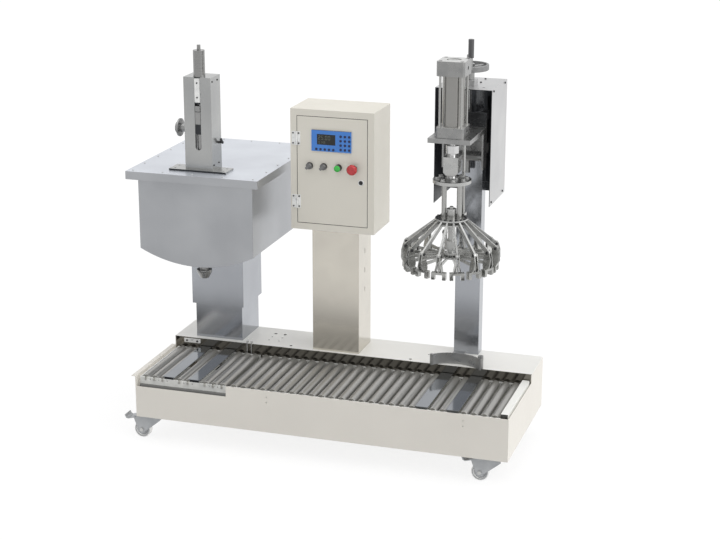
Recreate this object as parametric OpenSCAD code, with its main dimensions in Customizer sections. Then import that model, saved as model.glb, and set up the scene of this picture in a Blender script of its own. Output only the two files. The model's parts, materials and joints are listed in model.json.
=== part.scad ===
// Pail filling and lid pressing machine on a roller bed, in millimetres.
// X runs along the bed, Y runs from the operator to the columns, Z is up.
// The origin is on the floor, under the middle of the machine's outline.

/* [Chassis] */
// Length of the chassis
bed_len = 1650; // [1630:5:1800]
// Depth of the chassis
bed_dep = 670; // [660:5:740]
// Height of the front wall
wall_h = 187; // [170:1:220]
// Height of the rear deck above the chassis floor
deck_h = 228; // [205:1:260]
// Distance from the front wall to the rear deck
deck_off = 435; // [433:1:445]
// Thickness of the chassis sheet
sheet = 3; // [2:0.5:4]
// Length of the low stretch of the front wall
notch_len = 420; // [400:1:424]
// Height of the front wall at that stretch
notch_h = 140; // [100:1:150]
// Width of the lip outside the left wall
lip_w = 17; // [8:1:30]

/* [Casters] */
// Height of a caster from the floor to the chassis
caster_h = 110; // [105:1:130]
// Diameter of a caster wheel
wheel_d = 75; // [65:1:80]
// Width of a caster wheel
wheel_w = 26; // [20:1:32]
// Offset of the wheel from the swivel axis
trail = 38; // [30:1:45]
// Inset of the left swivel axes from the chassis end
caster_in_left = 47; // [45:1:120]
// Inset of the right swivel axes from the chassis end
caster_in_right = 85; // [60:1:160]
// Inset of the swivel axes from the front and the back
caster_in_y = 48; // [46:1:90]
// Thickness of the fork cheeks
fork_t = 3; // [2:0.5:4]
// Diameter of the wheel bolt
wheel_bolt_d = 10; // [8:1:12]
// Diameter of the swivel pin
king_d = 16; // [12:1:20]
// Width of the brake pedal
pedal_w = 56; // [40:1:70]

/* [Roller bed] */
// Diameter of a roller
roller_d = 36; // [30:1:38]
// Height of the roller tops above the chassis floor
roller_top = 190; // [185:1:200]
// Diameter of a roller axle
axle_d = 10; // [8:1:12]
// Thickness of the rails that carry the axles
rail_t = 5; // [4:1:6]
// Distance from the front wall's face to the front rail
rail_off = 16; // [14:1:20]
// Spacing of the rollers on the transfer bed
bed_pitch = 43.8; // [42:0.1:46]
// Place of the first roller on the transfer bed
bed_first = 447; // [446:1:450]
// Spacing of the rollers on the scale
scale_pitch = 39.1; // [39:0.1:40]
// Place of the first roller on the scale
scale_first = 43; // [40:1:46]
// Distance from the chassis' left end to the scale platform
scale_off = 16; // [14:1:20]
// Length of the scale platform
scale_len = 400; // [397:1:401]
// Width of the plates between the rollers
plate_w = 54; // [46:1:56]
// Width of the end stop bar
stop_w = 30; // [24:1:32]

/* [Fill head] */
// Place of the filling axis along the bed
fill_x = 206; // [200:1:212]
// Distance of the filling axis from the front wall
fill_y = 308; // [306:1:312]
// Width of the post that carries the head
post_w = 222; // [200:1:230]
// Depth of that post
post_dep = 204; // [180:1:204]
// Wall of the post and the columns
tube_t = 4; // [3:0.5:5]
// Space between the post and the sleeve's inside
sleeve_gap = 9; // [6:1:12]
// Height of the sleeve's lower end above the chassis floor
sleeve_low = 388; // [370:1:420]
// Height of the post above the chassis floor
post_h = 900; // [860:1:910]
// Width of the hood between its outer walls
hood_w = 526; // [480:1:540]
// Depth of the hood between its outer walls
hood_dep = 657; // [620:1:680]
// Distance from the front wall to the hood's middle
hood_y = 552; // [540:1:560]
// Height of the hood's side edges above the chassis floor
hood_low = 696; // [680:1:720]
// Drop of the curved lower edge at the middle of the hood
hood_drop = 64; // [40:1:70]
// Height of the hood's lid above the chassis floor
hood_top = 1046; // [1040:1:1060]
// Overhang of the lid beyond the hood
lid_over = 40; // [30:1:50]
// Depth of the lid's rim
lid_rim = 36; // [24:1:50]

/* [Nozzle] */
// Width of the stand on the lid
stand_w = 125; // [110:1:140]
// Depth of the stand on the lid
stand_dep = 105; // [95:1:115]
// Height of the stand
stand_h = 398; // [396:1:420]
// Width of the slot in the stand's front
slot_w = 27; // [22:1:32]
// Height of the slot's lower end above the lid
slot_low = 91; // [80:1:95]
// Outside diameter of the filling pipe
pipe_d = 38; // [32:1:42]
// Bore of the filling pipe
pipe_bore = 32; // [24:1:32]
// Height of the nozzle's lip above the chassis floor
nozzle_low = 562; // [540:1:580]
// Diameter of the nozzle's flange
nozzle_flange_d = 67; // [50:1:70]
// Diameter of the lift cylinder
lift_d = 50; // [46:1:50]
// Height of the lift cylinder above the stand
lift_h = 112; // [100:1:140]
// Diameter of the lift cylinder's rod
lift_rod_d = 16; // [12:1:18]
// Diameter of the hose socket in the inlet
inlet_bore = 36; // [34:1:40]
// Depth of the hose socket in the inlet
inlet_deep = 18; // [14:1:20]

/* [Control cabinet] */
// Place of the control column along the bed
control_x = 763; // [750:1:800]
// Width of the control column
control_w = 213; // [180:1:240]
// Depth of the control column
control_dep = 174; // [150:1:200]
// Distance from the front wall to the control column
control_y = 454; // [450:1:460]
// Height of the cabinet's floor above the chassis floor
cab_low = 790; // [760:1:820]
// Width of the cabinet
cab_w = 375; // [370:1:400]
// Depth of the cabinet
cab_dep = 232; // [220:1:260]
// Height of the cabinet
cab_h = 529; // [520:1:560]
// Distance from the front wall to the cabinet
cab_y = 410; // [395:1:430]
// Thickness of the cabinet's sheet
cab_t = 2; // [1.5:0.5:3]
// Width of the frame round the door
cab_frame = 31; // [29:1:33]
// Gap round the door
door_gap = 2; // [1.5:0.5:3]
// Depth of the door pan
door_dep = 16; // [12:1:20]
// Diameter of the holes for the switches
switch_d = 22; // [18:1:24]

/* [Press] */
// Place of the pressing axis along the bed
press_x = 1318; // [1310:1:1325]
// Distance of the pressing axis from the front wall
press_y = 303; // [301:1:306]
// Width of the press column
col_w = 111; // [100:1:120]
// Depth of the press column
col_dep = 63; // [50:1:66]
// Height of the press column above the chassis floor
col_h = 1425; // [1415:1:1430]
// Width of the cover
cover_w = 243; // [236:1:250]
// Distance from the front wall to the cover
cover_y = 466; // [460:1:470]
// Depth of the cover
cover_dep = 279; // [250:1:300]
// Height of the cover's lower end above the chassis floor
cover_low = 940; // [900:1:960]
// Height of the cover's top above the chassis floor
cover_top = 1435; // [1434:1:1450]
// Height of the carriage plate above the chassis floor
carriage_z = 1250; // [1240:1:1255]
// Width of the carriage plate
carriage_w = 178; // [165:1:190]
// Thickness of the carriage plate
carriage_t = 20; // [16:1:24]
// Side of the press cylinder's square heads
cyl_w = 118; // [112:1:119]
// Bore of the press cylinder
cyl_bore = 80; // [70:1:82]
// Length of the press cylinder's barrel
cyl_barrel = 209; // [200:1:240]
// Diameter of the press cylinder's rod
rod_d = 25; // [20:1:28]
// Diameter of the guide rods
guide_d = 14; // [12:1:14]
// Diameter of the lifting screw
screw_d = 24; // [20:1:28]
// Outside diameter of the handwheel
handwheel_d = 164; // [140:1:180]
// Diameter of the handwheel's grip
grip_d = 24; // [18:1:28]
// Height of the handwheel's grip
grip_h = 77; // [60:1:90]

/* [Crown] */
// Radius of the circle of claw pivots
claw_r = 190; // [185:1:200]
// Height of the claw pivots above the chassis floor
claw_z = 812; // [808:1:818]
// Height of a claw from its pivot to its foot
claw_h = 98; // [85:1:105]
// Radial depth of a claw's cheeks
claw_dep = 34; // [30:1:38]
// Thickness of a claw's cheeks
cheek_t = 4; // [3:0.5:5]
// Width between a claw's cheeks
claw_gap = 9; // [8:0.5:10]
// Width across a claw's legs where they meet its jaw
foot_w = 32; // [28:1:36]
// Width of the jaw across a claw's foot
jaw_w = 60; // [48:1:61]
// Diameter of the claw pins
pin_d = 8; // [6:1:8]
// Height of the claw arms above the chassis floor
arm_z = 766; // [764:1:768]
// Thickness of the claw arms
arm_t = 5; // [4:0.5:5]
// Radius of the circle of the arms' inner ends
arm_tip_r = 25; // [25:1:27]
// Diameter of the plunger
plunger_d = 26; // [22:1:28]
// Diameter of the top disc
disc_d = 160; // [158:1:170]
// Height of the top disc above the chassis floor
disc_z = 1077; // [1070:1:1085]
// Diameter of the hub's rings
hub_d = 136; // [130:1:144]
// Height of the hub's lower ring above the chassis floor
hub_z = 903; // [895:1:910]
// Width of a spoke
spoke_w = 8; // [6:0.5:8]
// Height of a spoke's section
spoke_h = 18; // [14:1:20]

/* [Pail locator] */
// Span of the locator's wings
locator_w = 216; // [190:1:230]
// Height of the locator
locator_h = 50; // [40:1:60]
// Radius of the pails that the wings hold
pail_r = 150; // [140:1:165]

/* [Fits] */
// Radial clearance of a shaft in its bore
run_fit = 0.05; // [0.03:0.01:0.08]
// Clearance between other pieces that move past each other
slide_fit = 0.4; // [0.3:0.05:0.6]

/* [Hidden] */
$fn = 48;
// A cut reaches past the faces that it opens by this much.
cut = 1;

// The outline reaches from the lid's left edge to the chassis' right end, and from the
// front wall to the lid's back edge.
lid_w = hood_w + 2 * lid_over;
lid_dep = hood_dep + 2 * lid_over;
left_x = -(bed_len + fill_x - lid_w / 2) / 2;
front_y = -(hood_y + lid_dep / 2) / 2;

// Shapes that many pieces share
module at_bed() { translate([left_x, front_y, caster_h]) children(); }
module block(low, high) { translate(low) cube(high - low); }
module rod_x(x0, x1, y, z, d) { translate([x0, y, z]) rotate([0, 90, 0]) cylinder(d = d, h = x1 - x0); }
module rod_y(y0, y1, x, z, d) { translate([x, y0, z]) rotate([-90, 0, 0]) cylinder(d = d, h = y1 - y0); }
module rod_z(z0, z1, x, y, d) { translate([x, y, z0]) cylinder(d = d, h = z1 - z0); }
// A profile drawn in Y and Z, as thick as x1 - x0
module side_plate(x0, x1) {
  translate([x0, 0, 0]) rotate([90, 0, 90]) linear_extrude(x1 - x0) children();
}
// A profile drawn in X and Z, as thick as y1 - y0
module front_plate(y0, y1) {
  translate([0, y1, 0]) rotate([90, 0, 0]) linear_extrude(y1 - y0) children();
}
// A rectangular tube that stands on end
module tube_z(low, high, wall) {
  difference() {
    block(low, high);
    block(low + [wall, wall, -cut], high + [-wall, -wall, cut]);
  }
}

// Chassis
front_hole_x = [604.5, 1460];
front_hole_z = [160, 135];
front_hole_d = 6;
lip_t = 3;
module base_shell() at_bed() color("gainsboro") difference() {
  union() {
    cube([bed_len, bed_dep, sheet]);
    cube([notch_len, sheet, notch_h]);
    block([notch_len, 0, 0], [bed_len, sheet, wall_h]);
    for (x = [0, bed_len - sheet]) {
      block([x, 0, 0], [x + sheet, deck_off, wall_h]);
      block([x, deck_off, 0], [x + sheet, bed_dep, deck_h - sheet]);
    }
    block([0, bed_dep - sheet, 0], [bed_len, bed_dep, deck_h - sheet]);
    block([-lip_w, 0, wall_h - lip_t], [sheet, deck_off, wall_h]);
  }
  for (x = front_hole_x, z = front_hole_z) rod_y(-cut, sheet + cut, x, z, front_hole_d);
}

// The deck's holes: four for an accessory, and cable holes beside them
pattern_x = 451;
pattern_y = 530;
pattern_w = 48;
pattern_dep = 44;
pattern_d = 7;
cable_holes = [[427, 598, 14], [472, 598, 14], [549, 465, 12], [1105, 460, 12], [1165, 543, 7]];
module rear_deck() at_bed() color("whitesmoke") {
  difference() {
    block([0, deck_off, deck_h - sheet], [bed_len, bed_dep, deck_h]);
    for (x = [-1, 1], y = [-1, 1])
      rod_z(deck_h - sheet - cut, deck_h + cut, pattern_x + x * pattern_w / 2,
            pattern_y + y * pattern_dep / 2, pattern_d);
    for (h = cable_holes) rod_z(deck_h - sheet - cut, deck_h + cut, h[0], h[1], h[2]);
  }
  block([sheet, deck_off, sheet], [bed_len - sheet, deck_off + sheet, deck_h - sheet]);
}

// Roller bed
axle_z = roller_top - roller_d / 2;
rail_top = axle_z + 10;
rear_rail_y = deck_off - 6 - rail_t;
roller_gap = 4;
roller_y0 = rail_off + rail_t + roller_gap;
roller_y1 = rear_rail_y - roller_gap;
axle_out = 3;
plate_shift = 8;
bed_start = notch_len + 7;
stop_x1 = bed_len - 8;
bed_end = stop_x1 - stop_w - 1;
scale_count = floor((scale_off + scale_len - roller_d / 2 - scale_first) / scale_pitch) + 1;
bed_count = floor((bed_end - roller_d / 2 - bed_first) / bed_pitch) + 1;
fill_slot = round((fill_x - scale_first) / scale_pitch);
press_slot = round((press_x - bed_first) / bed_pitch);
scale_slots = [for (i = [0 : scale_count - 1]) if (i != fill_slot - 1 && i != fill_slot + 2) i];
bed_slots = [for (i = [0 : bed_count - 1]) if (i != press_slot - 1 && i != press_slot + 2) i];
scale_rollers = [for (i = scale_slots) scale_first + i * scale_pitch];
bed_rollers = [for (i = bed_slots) bed_first + i * bed_pitch];
plate_places = [
  scale_first + (fill_slot - 1) * scale_pitch - plate_shift,
  scale_first + (fill_slot + 2) * scale_pitch - plate_shift,
  bed_first + (press_slot - 1) * bed_pitch,
  bed_first + (press_slot + 2) * bed_pitch];

// A rail with an open slot for each axle, and a hole between the slots
module rail(x0, x1, y, z0, places) {
  slot = axle_d + slide_fit;
  difference() {
    block([x0, y, z0], [x1, y + rail_t, rail_top]);
    for (x = places) {
      rod_y(y - cut, y + rail_t + cut, x, axle_z, slot);
      block([x - slot / 2, y - cut, axle_z], [x + slot / 2, y + rail_t + cut, rail_top + cut]);
      if (x + 30 < x1) rod_y(y - cut, y + rail_t + cut, x + 21, axle_z, 6);
    }
  }
}

module bed_rails() at_bed() color("silver") {
  flange_w = 30;
  for (y = [rail_off, rear_rail_y]) rail(bed_start, bed_end, y, sheet, bed_rollers);
  block([bed_start, rail_off + rail_t, sheet],
        [bed_end, rail_off + flange_w, 2 * sheet]);
  block([bed_start, rear_rail_y + rail_t - flange_w, sheet],
        [bed_end, rear_rail_y, 2 * sheet]);
}

// The weighing bed: two rails on tubes and cross bars, carried by the load cell
cell_low = 43;
cell_top = 103;
table_t = 8;
bar_h = 14;
tube_d = 30;
tube_y = [6, 17];
tube_z0 = cell_top + table_t + bar_h - 4 + tube_d / 2;
module scale_frame() at_bed() color("silver") {
  x1 = scale_off + scale_len;
  rail(scale_off, x1, rail_off, tube_z0 + 10, scale_rollers);
  rail(scale_off, x1, rear_rail_y, tube_z0 - 6, scale_rollers);
  for (y = [rail_off + tube_y[0], rear_rail_y + rail_t - tube_y[1]]) rod_x(scale_off, x1, y, tube_z0, tube_d);
  for (x = [scale_off + 30, fill_x - 15, x1 - 60])
    block([x, rail_off + 2, cell_top + table_t],
          [x + 30, rear_rail_y + rail_t - 2, cell_top + table_t + bar_h]);
  block([scale_off + 25, rail_off + 60, cell_top],
        [x1 - 25, rear_rail_y - 60, cell_top + table_t]);
}

module scale_base() at_bed() color("lightsteelblue") {
  mid = [scale_off + scale_len / 2, (rail_off + rear_rail_y + rail_t) / 2];
  cell = [150, 40];
  spacer = 6;
  // Base plate on four feet
  difference() {
    block([mid[0] - 150, mid[1] - 120, cell_low - 8], [mid[0] + 150, mid[1] + 120, cell_low]);
    for (x = [-1, 1], y = [-1, 1])
      rod_z(0, cell_low + cut, mid[0] + x * 90, mid[1] + y * 80, 40);
  }
  for (x = [-1, 1], y = [-1, 1]) {
    rod_z(sheet, sheet + 8, mid[0] + x * 130, mid[1] + y * 100, 36);
    rod_z(sheet, cell_low - 8, mid[0] + x * 130, mid[1] + y * 100, 16);
  }
  // Load cell on a spacer at one end, with the table on the other
  difference() {
    block([mid[0] - cell[0] / 2, mid[1] - cell[1] / 2, cell_low + spacer],
          [mid[0] + cell[0] / 2, mid[1] + cell[1] / 2, cell_top - spacer]);
    for (x = [-14, 14])
      rod_y(mid[1] - cell[1], mid[1] + cell[1], mid[0] + x, (cell_low + cell_top) / 2, 24);
  }
  block([mid[0] - cell[0] / 2, mid[1] - cell[1] / 2, cell_low],
        [mid[0] - cell[0] / 2 + 40, mid[1] + cell[1] / 2, cell_low + spacer]);
  block([mid[0] + cell[0] / 2 - 40, mid[1] - cell[1] / 2, cell_top - spacer],
        [mid[0] + cell[0] / 2, mid[1] + cell[1] / 2, cell_top]);
}

module roller(x) {
  bevel = 1;
  ring = 3;
  translate([x, 0, axle_z]) rotate([-90, 0, 0]) rotate_extrude() polygon([
    [0, rail_off - axle_out], [axle_d / 2, rail_off - axle_out], [axle_d / 2, roller_y0 - ring],
    [axle_d / 2 + ring, roller_y0 - ring], [axle_d / 2 + ring, roller_y0],
    [roller_d / 2 - bevel, roller_y0], [roller_d / 2, roller_y0 + bevel],
    [roller_d / 2, roller_y1 - bevel], [roller_d / 2 - bevel, roller_y1],
    [axle_d / 2 + ring, roller_y1], [axle_d / 2 + ring, roller_y1 + ring],
    [axle_d / 2, roller_y1 + ring], [axle_d / 2, rear_rail_y + rail_t + axle_out],
    [0, rear_rail_y + rail_t + axle_out]]);
}

module rollers() at_bed() color("dimgray") {
  for (x = concat(scale_rollers, bed_rollers)) roller(x);
}

// Plates that bridge the rollers, on feet that stand on the rails
module bed_plates() at_bed() color("lightslategray") {
  plate_t = 3;
  plate_z = roller_top + 0.3;
  foot_in = 6;
  for (x = plate_places) {
    block([x - plate_w / 2, rail_off, plate_z],
          [x + plate_w / 2, rear_rail_y + rail_t, plate_z + plate_t]);
    for (y = [rail_off, rear_rail_y])
      block([x - plate_w / 2 + foot_in, y, rail_top], [x + plate_w / 2 - foot_in, y + rail_t, plate_z]);
  }
}

module end_stop() at_bed() color("silver") {
  leg = 20;
  stop_h = 22;
  stop_top = roller_top + 10;
  stop_x = stop_x1 - stop_w / 2;
  block([stop_x1 - stop_w, rail_off + 2, stop_top - stop_h], [stop_x1, deck_off - 5, stop_top]);
  for (y = [rail_off + 24, deck_off - 25 - leg])
    block([stop_x - leg / 2, y, sheet], [stop_x + leg / 2, y + leg, stop_top - stop_h]);
}

// Casters: each stands at its own place, with the floor at Z = 0 there
mount_t = 5;
boss_h = 6;
boss_d = 40;
swivel_gap = 0.3;
fork_top = caster_h - mount_t - boss_h - swivel_gap;
fork_crown = 6;
fork_front = 50;
fork_back = trail + 37;
fork_in = wheel_w / 2 + 3;
wheel_z = wheel_d / 2;
module at_caster(i) {
  at_bed() translate([i % 2 == 0 ? caster_in_left : bed_len - caster_in_right,
                      i < 2 ? caster_in_y : bed_dep - caster_in_y, -caster_h]) children();
}

module caster_plates() color("lightgray") for (i = [0 : 3]) at_caster(i) difference() {
  plate = [90, 70];
  union() {
    translate([-plate[0] / 2, -plate[1] / 2, caster_h - mount_t]) cube([plate[0], plate[1], mount_t]);
    rod_z(caster_h - mount_t - boss_h, caster_h, 0, 0, boss_d);
  }
  rod_z(0, caster_h - mount_t / 2, 0, 0, king_d + 2 * run_fit);
}

module caster_fork(i) color("darkgray") at_caster(i) {
  apex = 18;
  drop = 10;
  // Cheeks
  for (y = [-fork_in - fork_t, fork_in]) front_plate(y, y + fork_t) {
    polygon([[-fork_back, fork_top], [fork_front, fork_top], [fork_front, fork_top - drop],
             [-trail + 0.9 * apex, wheel_z - 0.4 * apex], [-trail - 0.9 * apex, wheel_z - 0.4 * apex],
             [-fork_back, fork_top - drop]]);
    translate([-trail, wheel_z]) circle(r = apex);
  }
  block([-fork_back, -fork_in - fork_t, fork_top - fork_crown],
        [fork_front, fork_in + fork_t, fork_top]);
  rod_z(fork_top - fork_crown, caster_h - mount_t / 2 - swivel_gap, 0, 0, king_d);
  // Wheel bolt with its head and nut
  rod_y(-fork_in - fork_t - 2, fork_in + fork_t + 2, -trail, wheel_z, wheel_bolt_d);
  for (y = [-fork_in - fork_t - 6, fork_in + fork_t])
    translate([-trail, y, wheel_z]) rotate([-90, 0, 0]) cylinder(d = wheel_bolt_d + 8, h = 6, $fn = 6);
  // Brake pedal
  front_plate(-pedal_w / 2, pedal_w / 2) translate([-fork_back, fork_top]) polygon([
    [9, -fork_crown], [-23, -14], [-33, -11], [-39, 3], [-36, 4], [-31, -7.5], [-23, -10.8], [9, 0]]);
}

module caster_wheel(i) color("whitesmoke") at_caster(i) {
  shoulder = 4;
  hub_r = wheel_bolt_d / 2 + 6;
  rim_r = wheel_d / 2 - 11;
  bore_r = wheel_bolt_d / 2 + run_fit;
  dish = 5;
  hub_y = fork_in - 0.3;
  translate([-trail, 0, wheel_z]) rotate([-90, 0, 0]) rotate_extrude() {
    polygon([[bore_r, -hub_y], [hub_r, -hub_y], [hub_r, dish - wheel_w / 2],
             [rim_r, dish - wheel_w / 2], [rim_r + 2, -wheel_w / 2],
             [wheel_d / 2 - shoulder, -wheel_w / 2], [wheel_d / 2 - shoulder, wheel_w / 2],
             [rim_r + 2, wheel_w / 2], [rim_r, wheel_w / 2 - dish], [hub_r, wheel_w / 2 - dish],
             [hub_r, hub_y], [bore_r, hub_y]]);
    translate([wheel_d / 2 - shoulder - cut, shoulder - wheel_w / 2])
      square([shoulder + cut, wheel_w - 2 * shoulder]);
    for (s = [-1, 1]) translate([wheel_d / 2 - shoulder, s * (wheel_w / 2 - shoulder)]) circle(r = shoulder);
  }
}

// Fill head: a sleeve slides on the post and carries the hood
col_y1 = bed_dep - 2;
post_y = col_y1 - post_dep / 2;
sleeve_t = 3;
hood_t = 3;
lid_t = 3;
cap_t = 6;
hood_z1 = hood_top - lid_t;
sleeve_in = [post_w / 2 + sleeve_gap, post_dep / 2 + sleeve_gap];
module fill_post() at_bed() color("silver")
  tube_z([fill_x - post_w / 2, col_y1 - post_dep, deck_h], [fill_x + post_w / 2, col_y1, post_h], tube_t);

module fill_sleeve() at_bed() color("gainsboro") translate([fill_x, post_y, 0]) {
  collar_h = 30;
  collar_z = post_h - 210 - collar_h;
  out = sleeve_in + [sleeve_t, sleeve_t];
  near = [post_w / 2 + slide_fit, post_dep / 2 + slide_fit];
  tube_z([-out[0], -out[1], sleeve_low], [out[0], out[1], hood_z1 - cap_t], sleeve_t);
  // Guide collars that run on the post
  for (z = [sleeve_low, collar_z]) difference() {
    block([-out[0], -out[1], z], [out[0], out[1], z + collar_h]);
    block([-near[0], -near[1], z - cut], [near[0], near[1], z + collar_h + cut]);
  }
  block([-out[0], -out[1], hood_z1 - cap_t], [out[0], out[1], hood_z1]);
}

// The hood's front and back end in an arc below, so that it dips at the middle
arc_r = (hood_w * hood_w / 4 + hood_drop * hood_drop) / (2 * hood_drop);
module hood_panel() {
  translate([-hood_w / 2, hood_low]) square([hood_w, hood_z1 - hood_low]);
  intersection() {
    translate([0, hood_low - hood_drop + arc_r]) circle(r = arc_r, $fn = 120);
    translate([-hood_w / 2, hood_low - hood_drop - cut]) square([hood_w, hood_drop + 2 * cut]);
  }
}

module hood_shell() at_bed() color("lightgray") translate([fill_x, hood_y, 0]) {
  flange_w = 20;
  for (y = [-hood_dep / 2, hood_dep / 2 - hood_t]) front_plate(y, y + hood_t) hood_panel();
  for (x = [-hood_w / 2, hood_w / 2 - hood_t])
    block([x, -hood_dep / 2, hood_low], [x + hood_t, hood_dep / 2, hood_z1]);
  // Flange under the lid
  tube_z([-hood_w / 2 - flange_w, -hood_dep / 2 - flange_w, hood_z1 - hood_t],
         [hood_w / 2 + flange_w, hood_dep / 2 + flange_w, hood_z1], flange_w + hood_t);
}

pipe_hole = pipe_d + 3;
module hood_lid() at_bed() color("lightsteelblue") difference() {
  translate([fill_x, hood_y, 0]) {
    block([-lid_w / 2, -lid_dep / 2, hood_z1], [lid_w / 2, lid_dep / 2, hood_top]);
    tube_z([-lid_w / 2, -lid_dep / 2, hood_top - lid_rim], [lid_w / 2, lid_dep / 2, hood_top], lid_t);
  }
  rod_z(hood_z1 - cut, hood_top + cut, fill_x, fill_y, pipe_hole);
}

// Nozzle: a cylinder in the stand lowers the filling pipe
stand_off = 29;
stand_t = 3;
pad_t = 8;
stand_y0 = fill_y - stand_off;
stand_y1 = stand_y0 + stand_dep;
stand_z0 = hood_top + pad_t;
stand_z1 = stand_z0 + stand_h;
stand_roof = 4;
lift_z0 = stand_z1 - 108;
lift_z1 = stand_z1 + lift_h;
lift_bore = lift_d - 8;
slide_z1 = lift_z0 - 41;
slide_z0 = slide_z1 - 98;
inlet_z = slide_z1 - 77;
inlet_d = pipe_bore + 6;
module nozzle_stand() at_bed() color("silver") difference() {
  pad_w = 262;
  pad_dep = 90;
  shelf_t = 8;
  side_slot = inlet_d + 4;
  union() {
    tube_z([fill_x - stand_w / 2, stand_y0, stand_z0], [fill_x + stand_w / 2, stand_y1, stand_z1], stand_t);
    block([fill_x - stand_w / 2, stand_y0, stand_z1 - stand_roof],
          [fill_x + stand_w / 2, stand_y1, stand_z1]);
    block([fill_x - stand_w / 2, stand_y0, lift_z0 - shelf_t], [fill_x + stand_w / 2, stand_y1, lift_z0]);
    block([fill_x - stand_w / 2, stand_y0, hood_top], [fill_x + stand_w / 2, stand_y1, stand_z0]);
    block([fill_x - pad_w / 2, stand_y0 - 22, hood_top],
          [fill_x + pad_w / 2, stand_y0 - 22 + pad_dep, stand_z0]);
  }
  rod_z(stand_z1 - stand_roof - cut, stand_z1 + cut, fill_x, fill_y, lift_d + 1);
  rod_z(lift_z0 - shelf_t - cut, lift_z0 + cut, fill_x, fill_y, lift_rod_d + 4);
  rod_z(hood_top - cut, stand_z0 + cut, fill_x, fill_y, pipe_hole);
  // Slot in the front, with a round end
  block([fill_x - slot_w / 2, stand_y0 - cut, hood_top + slot_low + slot_w / 2],
        [fill_x + slot_w / 2, stand_y0 + stand_t, stand_z1 + cut]);
  rod_y(stand_y0 - cut, stand_y0 + stand_t, fill_x, hood_top + slot_low + slot_w / 2, slot_w);
  // Slot in the left side for the inlet
  block([fill_x - stand_w / 2 - cut, fill_y - side_slot / 2, inlet_z - 100 - side_slot / 2],
        [fill_x - stand_w / 2 + stand_t, fill_y + side_slot / 2, inlet_z + side_slot / 2]);
  for (x = [-1, 1], y = [0, 45])
    rod_z(hood_top - cut, stand_z0 + cut, fill_x + x * (pad_w / 2 - 20), stand_y0 + y, 9);
}

module lift_cylinder() at_bed() color("dimgray") {
  cap = 18;
  strap_w = 24;
  difference() {
    union() {
      rod_z(lift_z0, lift_z1, fill_x, fill_y, lift_d);
      block([fill_x - strap_w / 2, stand_y0 - 2, lift_z0], [fill_x + strap_w / 2, fill_y - 15, stand_z1 - 5]);
    }
    rod_z(lift_z0 + cap, lift_z1 - cap, fill_x, fill_y, lift_bore);
    rod_z(lift_z0 - cut, lift_z0 + cap + cut, fill_x, fill_y, lift_rod_d + 2 * run_fit);
  }
  rod_z(lift_z1, lift_z1 + 22, fill_x, fill_y, lift_rod_d);
}

inlet_x0 = fill_x - stand_w / 2 - 47.5;
module nozzle_carriage() at_bed() color("dimgray") {
  piston_z = lift_z1 - 34;
  side = stand_w / 2 - stand_t - slide_fit;
  rod_z(lift_z0 - 34, piston_z + cut, fill_x, fill_y, lift_rod_d);
  rod_z(piston_z, piston_z + 15, fill_x, fill_y, lift_bore - 2 * run_fit);
  block([fill_x - 11, stand_y0 - 2, lift_z0 - 39], [fill_x + 11, fill_y + 12, lift_z0 - 15]);
  rod_z(slide_z1 - cut, lift_z0 - 34, fill_x, fill_y, lift_rod_d);
  difference() {
    union() {
      block([fill_x - side, stand_y0 + stand_t + slide_fit, slide_z0],
            [fill_x + side, stand_y1 - 24, slide_z1]);
      block([fill_x - 12, stand_y0, slide_z1 - 54], [fill_x + 12, stand_y0 + 10, slide_z1]);
      rod_x(inlet_x0 + 9, fill_x - side + 10, fill_y, inlet_z, inlet_d);
      rod_x(inlet_x0 + 12, inlet_x0 + 19, fill_y, inlet_z, inlet_d + 40);
      rod_x(inlet_x0, inlet_x0 + 13, fill_y, inlet_z, inlet_bore + 10);
    }
    rod_z(slide_z0 - cut, inlet_z, fill_x, fill_y, pipe_bore);
    rod_x(inlet_x0 + 5, fill_x, fill_y, inlet_z, pipe_bore);
    rod_x(inlet_x0 - cut, inlet_x0 + inlet_deep, fill_y, inlet_z, inlet_bore);
  }
}

module fill_pipe() at_bed() color("silver") translate([fill_x, fill_y, 0]) rotate_extrude() polygon([
  [pipe_bore / 2, nozzle_low], [pipe_d / 2, nozzle_low], [nozzle_flange_d / 2, nozzle_low + 28],
  [nozzle_flange_d / 2, nozzle_low + 38], [pipe_d / 2, nozzle_low + 38], [pipe_d / 2, slide_z0],
  [pipe_bore / 2, slide_z0]]);

// Control cabinet
cab_x0 = control_x - cab_w / 2;
cab_z1 = cab_low + cab_h;
door_w = cab_w - 2 * cab_frame;
door_x0 = cab_x0 + cab_frame;
door_z0 = cab_low + cab_frame;
door_z1 = cab_z1 - cab_frame;
module control_column() at_bed() color("silver") difference() {
  x1 = control_x + control_w / 2;
  slot = [6, 22];
  tube_z([control_x - control_w / 2, control_y, deck_h], [x1, control_y + control_dep, cab_low], tube_t);
  for (z = [cab_low - 112, cab_low - 200, cab_low - 288])
    block([x1 - tube_t - cut, control_y + control_dep / 2 - slot[0] / 2, z - slot[1] / 2],
          [x1 + cut, control_y + control_dep / 2 + slot[0] / 2, z + slot[1] / 2]);
}

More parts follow.
